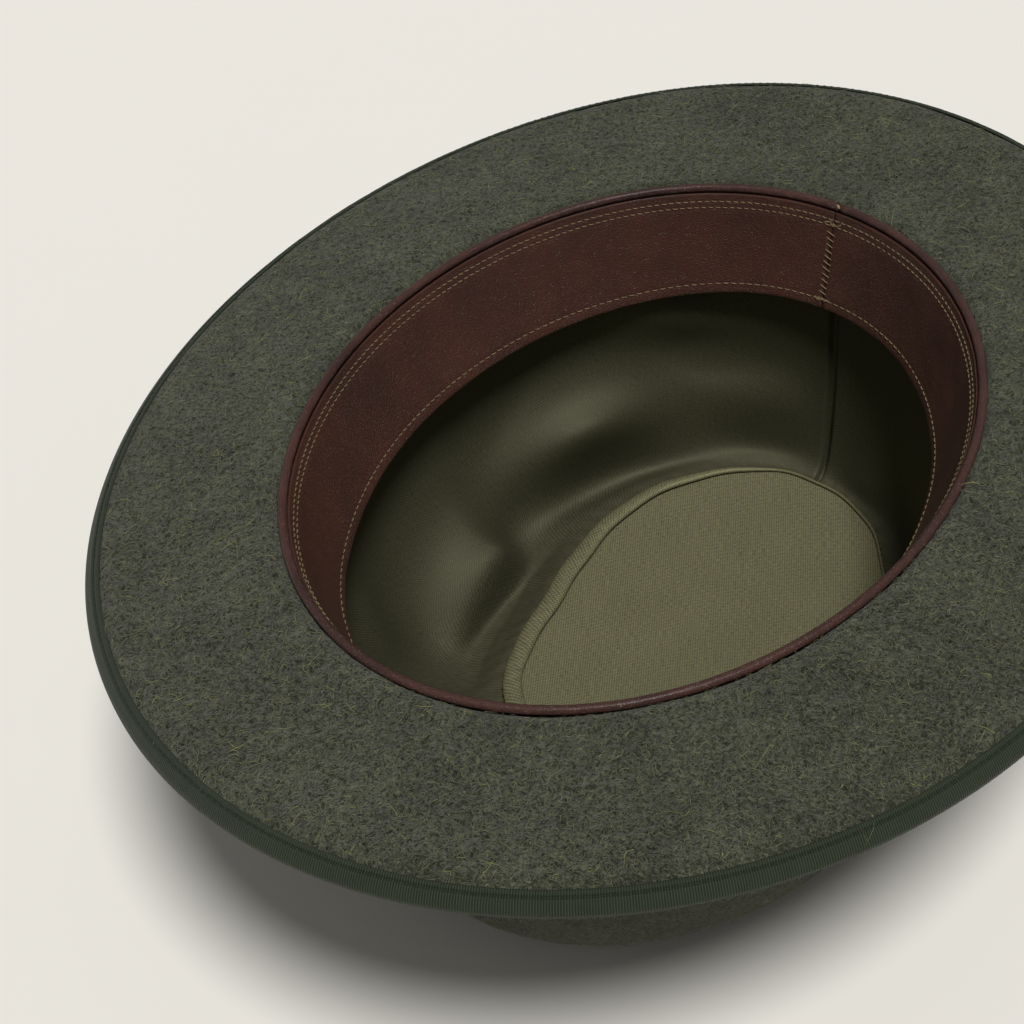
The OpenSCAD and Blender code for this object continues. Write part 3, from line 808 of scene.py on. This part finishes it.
class HAT_OT_bow(bpy.types.Operator):
    """Fold the flat bow and wrap its knot on the wearer's left"""
    bl_idname = "hat.bow"
    bl_label = "Bow"

    FULL = 3.2  # how far the loops stand off the band at their fullest
    NECK = 1.3  # the same beside the knot
    ENDS = 0.7  # the same at the bow's two ends
    TUCKED = 1.2  # how far the loops' edges lie inside the knot's
    SLACK = 0.7  # how far the knot's front stands off what it wraps

    def execute(self, context):
        shape = Shape(context.scene.hat_felt)
        base = GAP * 2 + context.scene.hat_ribbon.thickness  # on the band
        middle = (BAND.low[2] + BAND.high[2]) / 2
        knot_turn = math.asin(KNOT.half[1] / (WALL_A + shape.t))
        self.loops(context, shape, base, middle, knot_turn)
        self.knot(context, shape, base, middle, knot_turn)
        return {"FINISHED"}

    def loops(self, context, shape, base, middle, knot_turn):
        """The flat loops, drawn in under the knot."""
        crown_a = WALL_A + shape.t
        bow_turn = math.asin(BOW.half[1] / crown_a)
        tall = BAND.half[2] * 0.98
        waist = (KNOT.half[2] - self.TUCKED) / tall
        s = np.linspace(-1, 1, 97)
        t = math.pi + s * bow_turn
        away = np.clip((np.abs(s) * bow_turn - knot_turn) / (bow_turn - knot_turn), 0, 1)
        wide = waist + (1 - waist) * np.sin(np.minimum(1, away * 1.6) * math.pi / 2)
        depth = self.NECK + (self.FULL - self.NECK) * np.sin(math.pi * away ** 0.7)
        depth[[0, -1]] = self.ENDS

        def line(up, out):
            crease = 0.35 * np.sin(up * 9) * np.clip(1 - away * 1.7, 0, 1)
            z = middle + up * tall * wide
            k = np.array([shape.crown_share(h) for h in z])
            off = base + (depth + crease) * out
            return oval(crown_a * k + off, (WALL_B + shape.t) * k + off, z, t)

        front = [line(u, 0.35 + 0.65 * (1 - u ** 6)) for u in np.linspace(-1, 1, 25)]
        rear = [line(u, 0.05) for u in np.linspace(1, -1, 25)]
        piece = skin("bow", np.array(front + rear), finish_of(context, "grosgrain"), loop=True, around=False)
        stands_for(piece, "grosgrain", "bow_loops")
        long = float(lengths_along(line(0, 1), False)[-1])
        round(2 * tall * MM, 4)
        float(2 * tall * wide.mean() * long * MM * MM)

    def knot(self, context, shape, base, middle, knot_turn):
        """The ribbon wrapped round the middle of the loops: outer face up, then inner face down."""
        wrap = np.linspace(-1, 1, 17)
        kt = math.pi + wrap * knot_turn
        kz = KNOT.half[2]

        def wrap_line(up, off):
            pinch = 0.25 * np.cos(wrap * math.pi * 2.5) * (off > base + 1)
            return shape.on_crown(middle + up, off, kt) + np.array([-1, 0, 0]) * pinch[:, None]

        lift = base + self.NECK + GAP
        outer = [wrap_line(-kz, base), wrap_line(-kz, lift), wrap_line(-kz + 0.5, lift + 0.55)]
        outer += [wrap_line(u * (kz - 1), lift + self.SLACK) for u in np.linspace(-1, 1, 9)]
        outer += [wrap_line(kz - 0.5, lift + 0.55), wrap_line(kz, lift), wrap_line(kz, base)]
        inner = [wrap_line(-kz + 0.6, base), wrap_line(-kz + 0.6, lift - 0.1), wrap_line(-kz + 0.8, lift)]
        inner += [wrap_line(u * (kz - 1.4), lift) for u in np.linspace(-1, 1, 9)]
        inner += [wrap_line(kz - 0.8, lift), wrap_line(kz - 0.6, lift - 0.1), wrap_line(kz - 0.6, base)]
        knot = skin("bow_wrap", np.array(outer + inner[::-1]), finish_of(context, "grosgrain"), loop=True,
                    around=False)
        stands_for(knot, "grosgrain", "bow_knot")
        round_it = 2 * kz + 2 * (lift - base) + 1.0
        round(2 * KNOT.half[1] * MM, 4)
        round(round_it * MM, 4)


# ---- Reed and sweatband ----

class HAT_OT_reed(bpy.types.Operator):
    """Fold the leather piping over its reed"""
    bl_idname = "hat.reed"
    bl_label = "Reed and piping"

    CUT = math.radians(0.35)  # half the opening at the back seam
    SLANT = math.radians(0.9)  # how far the cut ends lean round the reed
    LEATHER = 0.5  # thickness round the reed
    TONGUE = 0.4  # thickness of the tongue that goes down the wall

    def execute(self, context):
        leather = context.scene.hat_leather
        r = leather.piping / 2
        centre_a, centre_b = REED.half[1] - r, REED.half[0] - r
        z = RIM_Z - r
        base = from_back(self.CUT, 720)
        wrap = np.radians(np.linspace(250, -60, 22))  # from under the reed's inner side, over it and back under

        def line(out, up):
            t = base + self.SLANT * out / r
            worn = 0.035 * waves(oval(centre_a, centre_b, z, t), 5, 8)
            return oval(centre_a + out + worn, centre_b + out + worn, z + up, t)

        def face(r, wall):
            rows = [line(r * math.cos(u), r * math.sin(u)) for u in wrap]
            return rows + [line(wall, shoulder), line(wall, REED.low[2] - z)]

        shoulder = -r - 0.5
        wall = WALL_A - GAP - centre_a
        rows = face(r, wall) + face(r - self.LEATHER, wall - self.TONGUE)[::-1]
        piece = skin("piping", np.array(rows), finish_of(context, "piping_leather"), loop=True, around=False)
        stands_for(piece, "piping_leather", "reed_piping")
        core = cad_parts["reed_core"]
        core.data.materials.clear()
        core.data.materials.append(finish_of(context, "cane").material)
        return {"FINISHED"}


class Sweat:
    """The sweatband's surface: s goes from its top edge to its free edge."""
    ROLL, ROLL_DEEP = 1.0, 3.2  # how far the leather rolls in under the reed, and over what depth
    LEAN = 1.25  # 1 would be a straight lean
    ROWS = (1.6, 3.3)  # from its top edge to the two rows of stitches under the reed

    def __init__(self, context):
        self.t = context.scene.hat_leather.thickness
        self.a, self.b = SWEAT.half[1], SWEAT.half[0]
        self.top, self.low = SWEAT.high[2], SWEAT.low[2]
        row = Span("hem_stitches")
        hem = (self.top - row.middle[2]) / (self.top - self.low)
        thread = row.high[2] - row.low[2]
        sunk = self.t + thread * 0.66 + self.ROLL
        self.lean_a = (self.a - row.half[1] - sunk) / hem ** self.LEAN
        self.lean_b = (self.b - row.half[0] - sunk) / hem ** self.LEAN
        self.hem = hem

    def point(self, s, inward, t):
        """A point off the back of the leather. Above the top edge, s is below 0."""
        down = np.maximum(s, 0.0)
        lean = down ** self.LEAN
        inward = inward + self.ROLL * (1 - np.exp(-down * self.height / self.ROLL_DEEP))
        wobble = 0.5 * lean * (np.sin(3 * t + 0.6) * 0.5 + np.sin(5 * t + 2.1) * 0.35 + np.sin(9 * t) * 0.15)
        a = self.a - self.lean_a * lean - inward - wobble
        b = self.b - self.lean_b * lean - inward - wobble
        return oval(a, b, self.top + (self.low - self.top) * s, t)

    @property
    def height(self):
        return self.top - self.low


class HAT_OT_sweatband(bpy.types.Operator):
    """Build the leather sweatband, open at its back seam, and the tape behind it"""
    bl_idname = "hat.sweatband"
    bl_label = "Sweatband"

    CUT_WIDE = 0.0315  # metres of leather: the 29 mm that show and what is sewn behind the reed
    SLIT = 0.15  # half the opening at the back seam
    LIP = -0.026  # the top edge's thin lip that closes the gap under the reed
    LIP_THICK = 0.35
    EDGE = 0.45  # how far the free edge is rounded off
    GROOVE, GROOVE_WIDE = 0.16, 0.55  # how the rows of stitches draw the leather in
    TAPE_FACES = (-0.15, -0.5)  # of the tape behind the seam, off the back of the leather

    def execute(self, context):
        sweat = Sweat(context)
        t = from_back(math.asin(self.SLIT / sweat.b), 720)
        ends = np.minimum(t - t[0], t[-1] - t) * sweat.b
        worn_end = 0.25 * np.exp(-ends / 0.7)
        face, back = [], []
        sewn = [row / sweat.height for row in sweat.ROWS] + [sweat.hem]
        pulled = 0.05 * np.sin(t * girth(sweat.a, sweat.b) / 2.3)
        for s in (self.LIP, *np.linspace(0, 1, 60)):
            groove = sum(self.GROOVE * math.exp(-((s - row) * sweat.height / self.GROOVE_WIDE) ** 2)
                         for row in sewn)
            edge = self.EDGE * math.exp(-(1 - s) * sweat.height / 0.5)
            pull = pulled * math.exp(-((s - 0.12) * sweat.height / 2) ** 2)
            face.append(sweat.point(s, sweat.t - groove - edge - worn_end + pull, t))
            back.append(sweat.point(s, sweat.t - self.LIP_THICK if s < 0 else self.EDGE * (edge > 0.2), t))
        rows = np.array(face + back[::-1])
        seen = rows[:len(face)]
        seen += surface_normals(seen, False) * (0.06 * waves(seen, 12, 21))[..., None]
        piece = skin("sweatband_leather", rows, finish_of(context, "band_leather"), loop=True, around=False)
        stands_for(piece, "band_leather", "sweatband")
        long = girth(sweat.a, sweat.b)
        round(long * MM, 4)
        self.tape(context, sweat)
        return {"FINISHED"}

    def tape(self, context, sweat):
        """The tape behind the seam."""
        half = math.asin(TAPE.half[0] / WALL_B)
        t = np.linspace(BACK - half, BACK + half, 15)
        shares = np.linspace(*((sweat.top - z) / sweat.height for z in (TAPE.high[2], TAPE.low[2])), 12)
        near, far = self.TAPE_FACES
        tape = [sweat.point(s, near, t) for s in shares] + [sweat.point(s, far, t) for s in shares[::-1]]
        strip = skin("backing_tape", np.array(tape), finish_of(context, "tape"), loop=True, around=False)
        stands_for(strip, "tape", "seam_tape")
        round(2 * TAPE.half[0] * MM, 4)
        round((TAPE.high[2] - TAPE.low[2]) * MM, 4)


# ---- Sewing ----

def stitches(context, name, frames, long, thick, slot, node, sink=0.5):
    """Stitches as one piece in place of a node. Each dips in at both ends.

    frames holds the arrays of their middles, directions and normals, and slot names their thread.
    """
    at, along, up = frames
    count, rings, sides = len(at), 7, 6
    along = along / np.linalg.norm(along, axis=-1, keepdims=True)
    up = up / np.linalg.norm(up, axis=-1, keepdims=True)
    side = np.cross(up, along)
    p = np.linspace(-1, 1, rings)
    spine = (at[:, None] + along[:, None] * (p * long / 2)[None, :, None]
             + up[:, None] * (thick * (0.42 - (0.42 + sink) * np.abs(p) ** 2.5))[None, :, None])
    radius = thick / 2 * (1 - 0.45 * np.abs(p) ** 3)
    turn = np.arange(sides) * 2 * math.pi / sides
    ring = (side[:, None, None] * np.cos(turn)[None, None, :, None]
            + up[:, None, None] * np.sin(turn)[None, None, :, None])
    points = (spine[:, :, None] + ring * radius[None, :, None, None]).reshape(-1, 3)
    base = (np.arange(count) * rings * sides)[:, None, None]
    row = (np.arange(rings - 1) * sides)[None, :, None]
    k = np.arange(sides)[None, None, :]
    a, b = base + row + k, base + row + (k + 1) % sides
    quads = np.stack([a, b, b + sides, a + sides], -1).reshape(-1, 4).tolist()
    for start in range(0, count * rings * sides, rings * sides):
        quads.append([start + q for q in range(sides)][::-1])
        quads.append([start + (rings - 1) * sides + q for q in range(sides)])
    mesh = bpy.data.meshes.new(name)
    mesh.from_pydata((points * MM).tolist(), [], quads)
    stands_for(finish_piece(name, mesh, finish_of(context, slot)), slot, node)


def joined(frames):
    """Several rows' middles, directions and normals as one."""
    return [np.concatenate(v) for v in zip(*frames)]


def row_frames(point, t, lean=0.0):
    """Middles, directions and normals along a row. point(angles) gives its places."""
    step = 1e-3
    at = point(t)
    along = point(t + step) - point(t - step)
    along /= np.linalg.norm(along, axis=-1, keepdims=True)
    inward = -outward(t)
    down = np.cross(along, inward)
    return at, along + down * lean, inward


class HAT_OT_leather_sewing(bpy.types.Operator):
    """Sew the sweatband: two rows under the reed, the hem and the back seam"""
    bl_idname = "hat.leather_sewing"
    bl_label = "Leather sewing"

    SEED = 5
    SEAM = (0.2, 0.83)  # where the seam's slanting stitches start and end, as shares of the height
    TACKS = ((0.10, 2.2), (0.9, 1.7))  # each bar tack's share of the height and half width

    def execute(self, context):
        sewing = context.scene.hat_sewing
        sweat = Sweat(context)
        thick, pitch = sewing.thread, sewing.pitch
        face = sweat.t - 0.1
        rows = []
        count = round(girth(sweat.a, sweat.b) / pitch)
        for below, shift in zip(sweat.ROWS, (0.5, 0.0)):
            s = below / sweat.height
            t = even_angles(sweat.a, sweat.b, count, shift)
            rows.append(row_frames(lambda u, k=s: sweat.point(k, face, u), t, 0.12))
        stitches(context, "reed_rows", joined(rows), pitch * 0.78, thick, "tan_thread", "reed_stitches")
        hem_a, hem_b = sweat.a - sweat.lean_a, sweat.b - sweat.lean_b
        t = even_angles(hem_a, hem_b, round(girth(hem_a, hem_b) / (pitch * 1.1)))
        row = row_frames(lambda u: sweat.point(sweat.hem, face, u), t, 0.1)
        stitches(context, "hem_row", row, pitch * 0.86, thick, "tan_thread", "hem_stitches")
        s = np.linspace(*self.SEAM, 11)
        at = sweat.point(s, sweat.t - 0.15, np.full(len(s), BACK))
        along = np.tile([1.0, 0.0, -0.42], (len(s), 1))
        up = np.tile([0.0, -1.0, 0.35], (len(s), 1))
        stitches(context, "back_seam", (at, along, up), 3.6, thick, "tan_thread", "back_seam_stitches", 0.4)
        tacks = []
        rng = np.random.default_rng(self.SEED)
        for s0, wide in self.TACKS:
            for k in np.linspace(-1, 1, 9):
                turn = BACK + k * wide / sweat.b + 0.004
                tacks.append((sweat.point(s0 + rng.normal(0, 0.008), face, np.array(turn)),
                              (rng.normal(0.9, 0.2), 0, rng.choice([-0.6, 0.6, 0.1])), (0, -1, 0.35)))
        frames = [np.array(v, float) for v in zip(*tacks)]
        stitches(context, "bar_tacks", frames, 1.9, thick, "tan_thread", "seam_bar_tacks", 0.3)
        return {"FINISHED"}


class HAT_OT_ribbon_sewing(bpy.types.Operator):
    """Sew the binding and tack the band"""
    bl_idname = "hat.ribbon_sewing"
    bl_label = "Ribbon sewing"

    PITCH = 2.2  # from stitch to stitch in the binding
    SUNK = 0.12  # how far the binding's row lies in the ribbon

    def execute(self, context):
        ribbon = context.scene.hat_ribbon
        shape = Shape(context.scene.hat_felt)
        turn = shape.turn - (ribbon.binding_width - HAT_OT_binding.SEWN) / shape.curl_r
        off = GAP * 0.5 + ribbon.thickness - self.SUNK
        count = round(girth(EDGE_A, EDGE_B) / self.PITCH)
        frames = []
        for r, tilt in ((shape.curl_r + off, 1), (shape.curl_r - shape.t - off, -1)):
            t = even_angles(EDGE_A, EDGE_B, count)
            at, along, _ = row_frames(lambda u, q=r: shape.curl_ring(q, turn, u), t)
            frames.append((at, along, tilt * (outward(t) * math.sin(turn) + np.array([0, 0, math.cos(turn)]))))
        stitches(context, "binding_row", joined(frames), 1.55, 0.34, "green_thread", "binding_stitches", 0.7)
        t = np.radians(np.arange(30, 360, 60.0))
        at = shape.on_crown(BAND.high[2] - 2, GAP + ribbon.thickness + 0.05, t)
        upright = np.tile([0.0, 0.0, 1.0], (len(t), 1))
        frames = (at, upright, outward(t))
        stitches(context, "band_tack_threads", frames, 2.6, 0.4, "green_thread", "band_tacks")
        return {"FINISHED"}


# ---- Lining ----

class Pouch:
    """The lining's side: turn goes from its upper edge (0) to the tip seam (90 degrees)."""

    SLACK = 3.4  # how boxy its profile is
    SAG = 2.0  # how far the tip hangs below its seam
    HANG = 2.5  # how far the side hangs away from its profile halfway down
    # The soft folds: angle round the hat, turn of the profile, share of the full depth inwards,
    # half width before and after the angle, half width in the turn, and how the fold's line slants
    FOLDS = (
        (185, 60, 1.9, 8, 15, 17, 0.2), (172, 64, -0.7, 7, 7, 12, 0.3), (197, 77, -1.9, 16, 18, 8, 0.0),
        (147, 45, 1.9, 16, 15, 9, 0.2), (150, 64, -0.9, 20, 15, 8, 0.0), (108, 42, 0.35, 12, 12, 8, 0.2),
        (110, 58, -0.25, 14, 12, 7, 0.0), (128, 20, 0.7, 12, 12, 8, -0.5), (118, 32, -0.5, 14, 10, 6, -0.6),
        (163, 27, -0.6, 9, 9, 12, 0.3), (90.3, 45, -0.6, 0.8, 0.6, 60, 0.0), (208, 62, -0.4, 5, 8, 12, 0.4),
        (213, 40, 0.6, 7, 7, 13, 0.2), (228, 54, 1.0, 7, 11, 22, 0.2), (268, 48, 0.6, 14, 14, 14, -0.4),
        (302, 56, 0.8, 12, 12, 18, 0.0), (338, 46, 0.5, 14, 14, 16, 0.4), (12, 52, 0.7, 13, 13, 18, 0.0),
        (52, 42, 0.5, 15, 15, 14, -0.3), (76, 56, 0.4, 8, 8, 14, 0.0))
    DENT = (193, 6, 28)  # in the tip's seam: its angle, depth and half width

    def __init__(self, context):
        self.depth = context.scene.hat_satin.folds
        self.top_z = SIDE.high[2]
        self.tip_z = TIP.low[2] + self.SAG
        self.tip_a, self.tip_b = TIP.half[1] + GAP, TIP.half[0] + GAP
        self.tip_y = TIP.middle[1]

    def seam(self, t):
        """Half length and half width at angles t of the dented oval of the tip's seam."""
        middle, deep, wide = self.DENT
        aside = (np.degrees(t) - middle + 540) % 360 - 180
        drawn = deep * np.exp(-(aside / wide) ** 2) + 0.18 * np.sin(9 * t + 1) + 0.2 * np.sin(17 * t)
        return self.tip_a - drawn, self.tip_b - drawn

    def fold(self, turn, t):
        """How far the folds draw the side in, in millimetres. Both angles are in radians."""
        turn, t = np.broadcast_arrays(np.degrees(turn), np.degrees(t))
        drawn = np.zeros(turn.shape)
        for middle, down, deep, before, after, tall, slant in self.FOLDS:
            aside = (t - middle - slant * (turn - down) + 540) % 360 - 180
            wide = np.where(aside < 0, before, after)
            drawn = drawn + deep * np.exp(-(aside / wide) ** 2 - ((turn - down) / tall) ** 2)
        ease = np.clip(turn / 15, 0, 1) * np.clip((90 - turn) / 12, 0, 1)
        room = 0.3 + 0.5 * np.exp(-((turn - 62) / 16) ** 2)  # the share that the felt leaves outwards
        return self.depth * ease * np.where(drawn < 0, room * np.tanh(drawn / room), drawn)

    def pucker(self, turn, t):
        """The gathers where the side is sewn to the tip, in millimetres."""
        near = np.exp(-((math.pi / 2 - turn) / 0.30) ** 2)
        along = t * (self.tip_a + self.tip_b) / 2
        fine = np.sin(along / 0.95 + 1.3 * np.sin(along / 7))
        broad = np.sin(along / 2.1 + 2 * np.sin(along / 11))
        return near * 0.14 * (fine * 0.5 + broad * 0.5)

    def point(self, turn, inward, t):
        """A point of the side, moved inward off its outer face."""
        c, s = np.cos(turn), np.sin(turn)
        q = (c ** self.SLACK + s ** self.SLACK) ** (-1 / self.SLACK)
        k, h = q * c, q * s
        off = inward + self.fold(turn, t) + self.pucker(turn, t)
        draw = off * c + self.HANG * np.sin(2 * turn)
        tip_a, tip_b = self.seam(t)
        x = tip_b * np.cos(t) * (1 - k) + (WALL_B - GAP) * np.cos(t) * k - draw * np.cos(t)
        y = (self.tip_y + tip_a * np.sin(t)) * (1 - k) + (WALL_A - GAP) * np.sin(t) * k - draw * np.sin(t)
        z = self.top_z + (self.tip_z - self.top_z) * h + off * s
        return np.stack(np.broadcast_arrays(x, y, z), -1)


class HAT_OT_lining(bpy.types.Operator):
    """Build the satin lining: side, tip panel and padded welt"""
    bl_idname = "hat.lining"
    bl_label = "Lining"

    FULLNESS = 1.05  # of the side's cloth, for its folds
    TAPER = 0.86  # of the side's area, since it narrows to the tip
    WELT_WIDE = 2.9  # the welt's half width where it is fullest
    WELT_FULL = math.radians(222)  # where that is; it thins out on the far side

    def execute(self, context):
        satin = context.scene.hat_satin
        cloth = finish_of(context, "satin")
        pouch = Pouch(context)
        # The side's satin is painted darker than the tip's: painted shade on its walls.
        self.side(pouch, satin, finish_of(context, "satin_side_painted_shade"))
        t = angles(360)
        self.tip(pouch, satin, cloth, t)
        self.welt(pouch, cloth, t)
        return {"FINISHED"}

    def side(self, pouch, satin, finish):
        """The folded side: inner face down from its upper edge, then outer face up."""
        t = angles(900)
        turns = np.radians(np.concatenate([np.linspace(0, 60, 60, endpoint=False), np.linspace(60, 90, 50)]))
        rows = [pouch.point(u, satin.thickness, t) for u in turns]
        rows += [pouch.point(u, 0, t) for u in turns[::-1]]
        piece = skin("satin_side_painted_shade", np.array(rows), finish, loop=True)
        stands_for(piece, "satin", "lining_side")
        deep = float(lengths_along(np.array(rows)[:len(turns), 0], False)[-1])
        around = girth(WALL_A, WALL_B)
        round(around * MM, 4)
        deep * around * self.TAPER * MM * MM

    def tip(self, pouch, satin, cloth, t):
        """The panel, which sags a little inside its seam."""
        tip_a, tip_b = pouch.seam(t)
        shares = np.concatenate([np.linspace(0.04, 0.85, 24), np.linspace(0.87, 1, 12)])

        def ring_at(s, up):
            z = TIP.low[2] + up + pouch.SAG - pouch.SAG * (1 - s * s)
            ring = oval((tip_a - GAP) * s, (tip_b - GAP) * s, z, t, pouch.tip_y)
            ring[..., 2] += 0.25 * waves(ring, 30, 31) * (1 - s)
            return ring

        rows = [ring_at(s, 0) for s in shares] + [ring_at(s, satin.thickness) for s in shares[::-1]]
        panel = skin("satin_tip", np.array(rows), cloth, lids=True, level=True)
        stands_for(panel, "satin", "lining_tip")
        2 * pouch.tip_b * MM
        2 * pouch.tip_a * MM
        math.pi * pouch.tip_a * pouch.tip_b * 0.98 * MM * MM

    def welt(self, pouch, cloth, t):
        """The padded roll along the seam."""
        tip_a, tip_b = pouch.seam(t)
        full = np.clip(0.5 + 0.75 * np.cos(t - self.WELT_FULL), 0.15, 1)
        wide, tall = self.WELT_WIDE * full, WELT.half[2] * full ** 0.5
        rings = []
        for u in np.radians(np.arange(0, 360, 18.0)):
            inward = GAP + wide - wide * math.cos(u)
            ring = oval(tip_a, tip_b, 0, t, pouch.tip_y) - inward[:, None] * outward(t)
            ring[:, 2] = WELT.low[2] + tall * (1 + math.sin(u))
            rings.append(ring)
        roll = skin("satin_welt", np.array(rings), cloth, loop=True)
        stands_for(roll, "satin", "tip_welt")


class HAT_OT_lining_sewing(bpy.types.Operator):
    """Sew the lining: tip seam, upright seam and tacks"""
    bl_idname = "hat.lining_sewing"
    bl_label = "Lining sewing"

    TIP_PITCH = 2.4  # from stitch to stitch round the tip

    def execute(self, context):
        satin = context.scene.hat_satin
        pouch = Pouch(context)
        count = round(girth(pouch.tip_a, pouch.tip_b) / self.TIP_PITCH)
        t = even_angles(pouch.tip_a, pouch.tip_b, count)
        z = pouch.tip_z + 0.6
        at, along, _ = row_frames(lambda u: oval(*pouch.seam(u), z, u, pouch.tip_y), t)
        upright = np.tile([0.0, 0.0, 1.0], (count, 1))
        stitches(context, "tip_seam_row", (at, along, upright), 1.6, 0.4, "olive_thread", "tip_seam_stitches")
        turns = np.radians(np.linspace(3, 86, 34))
        at = pouch.point(turns, satin.thickness, BACK)
        along = pouch.point(turns + 0.01, satin.thickness, BACK) - at
        up = np.tile([0.0, -1.0, 0.4], (len(turns), 1))
        stitches(context, "side_seam_row", (at, along, up), 1.8, 0.35, "olive_thread", "lining_seam_stitches")
        t = np.radians(np.arange(15, 360, 30.0))
        at = pouch.point(math.radians(2), satin.thickness, t)
        frames = (at, upright[:len(t)], -outward(t))
        stitches(context, "top_tacks", frames, 1.8, 0.35, "olive_thread", "lining_tacks")
        return {"FINISHED"}


# ---- Studio ----

class HAT_OT_studio(bpy.types.Operator):
    """Set up the floor, the lamps and the camera"""
    bl_idname = "hat.studio"
    bl_label = "Studio"

    DISTANCE = 560.0  # from the camera to the point that it looks at
    LOOKS_AT = (-6.48, -44.16)  # on the plane of the reed
    HEIGHT = math.radians(44.94)
    ROUND = math.radians(42.58)
    ROLL = math.radians(-8.29)
    SENSOR = 36.0
    FLOOR_REACH = 20.0  # metres
    WHITE = (1.0, 0.995, 0.985)
    # The key's height and way round follow the hat's shadow on the floor, and its spread the soft edge
    KEY_HEIGHT, KEY_ROUND, KEY_SPREAD = (math.radians(v) for v in (66.5, -30, 14))
    KEY_POWER = 2.66
    FILL_AT = (-1.75, -0.55, 0.22)  # metres; it looks in under the brim
    FILL_POWER = 2
    FILL_WHITE = (0.97, 0.985, 1.0)
    SKY = 0.155  # strength of the light from all round

    def execute(self, context):
        scene = context.scene
        self.floor(scene)
        self.camera(scene)
        self.lamps(scene)
        scene.view_settings.view_transform = "Standard"
        return {"FINISHED"}

    def floor(self, scene):
        mesh = bpy.data.meshes.new("floor")
        reach = self.FLOOR_REACH
        corners = [(-reach, -reach, 0), (reach, -reach, 0), (reach, reach, 0), (-reach, reach, 0)]
        mesh.from_pydata(corners, [], [(0, 1, 2, 3)])
        floor = bpy.data.objects.new("floor", mesh)
        scene.collection.objects.link(floor)
        mesh.materials.append(paper_finish(scene.hat_studio).material)

    def axes(self):
        """The camera's way back, its right and its up."""
        back = Vector((math.sin(self.ROUND) * math.cos(self.HEIGHT),
                       -math.cos(self.ROUND) * math.cos(self.HEIGHT), math.sin(self.HEIGHT)))
        right = Vector((math.cos(self.ROUND), math.sin(self.ROUND), 0))
        up = back.cross(right)
        c, s = math.cos(self.ROLL), math.sin(self.ROLL)
        return back, right * c + up * s, up * c - right * s

    def camera(self, scene):
        back, right, up = self.axes()
        data = bpy.data.cameras.new("camera")
        data.lens = scene.hat_studio.lens
        data.sensor_width = self.SENSOR
        camera = bpy.data.objects.new("camera", data)
        scene.collection.objects.link(camera)
        place = Vector((*self.LOOKS_AT, RIM_Z)) + back * self.DISTANCE
        camera.matrix_world = Matrix.Translation(place * MM) @ Matrix((right, up, back)).transposed().to_4x4()
        scene.camera = camera

    def lamp(self, scene, name, kind, way, power, tint, **shape):
        """A lamp that shines from a direction, given as a vector towards it."""
        data = bpy.data.lights.new(name, kind)
        data.energy = power
        data.color = tint
        for key, value in shape.items():
            setattr(data, key, value)
        lamp = bpy.data.objects.new(name, data)
        scene.collection.objects.link(lamp)
        lamp.location = Vector(way)
        lamp.rotation_mode = "QUATERNION"
        lamp.rotation_quaternion = Vector(way).to_track_quat("Z", "Y")

    def lamps(self, scene):
        level = math.cos(self.KEY_HEIGHT)
        key = (level * math.cos(self.KEY_ROUND), level * math.sin(self.KEY_ROUND), math.sin(self.KEY_HEIGHT))
        self.lamp(scene, "key", "SUN", key, self.KEY_POWER, self.WHITE, angle=self.KEY_SPREAD)
        self.lamp(scene, "low_fill", "AREA", self.FILL_AT, self.FILL_POWER, self.FILL_WHITE,
                  shape="DISK", size=0.5)
        world = bpy.data.worlds.new("studio")
        scene.world = world
        world.use_nodes = True
        sky = world.node_tree.nodes["Background"]
        sky.inputs["Color"].default_value = (*self.WHITE, 1)
        sky.inputs["Strength"].default_value = self.SKY


# ---- Panel and registration ----

STEPS = (HAT_OT_felt, HAT_OT_hairs, HAT_OT_binding, HAT_OT_band, HAT_OT_bow, HAT_OT_reed, HAT_OT_sweatband,
         HAT_OT_leather_sewing, HAT_OT_ribbon_sewing, HAT_OT_lining, HAT_OT_lining_sewing, HAT_OT_studio)
GROUPS = {
    "hat_felt": FeltSettings, "hat_ribbon": RibbonSettings, "hat_leather": LeatherSettings,
    "hat_satin": SatinSettings, "hat_sewing": SewingSettings, "hat_studio": StudioSettings,
}


class HAT_PT_panel(bpy.types.Panel):
    """The hat's sizes, colours and steps"""
    bl_idname = "HAT_PT_panel"
    bl_label = "Bowler hat"
    bl_space_type = "VIEW_3D"
    bl_region_type = "UI"
    bl_category = "Hat"

    def draw(self, context):
        for key, group in GROUPS.items():
            box = self.layout.box()
            for name in group.__annotations__:
                box.prop(getattr(context.scene, key), name)
        for step in STEPS:
            self.layout.operator(step.bl_idname)


def register():
    for made in (*GROUPS.values(), *STEPS, HAT_PT_panel):
        bpy.utils.register_class(made)
    for key, group in GROUPS.items():
        setattr(bpy.types.Scene, key, bpy.props.PointerProperty(type=group))


def unregister():
    for key in GROUPS:
        delattr(bpy.types.Scene, key)
    for made in reversed((*GROUPS.values(), *STEPS, HAT_PT_panel)):
        bpy.utils.unregister_class(made)


def main():
    register()
    for step in STEPS:
        group, name = step.bl_idname.split(".")
        getattr(getattr(bpy.ops, group), name)()


if __name__ == "__main__":
    main()
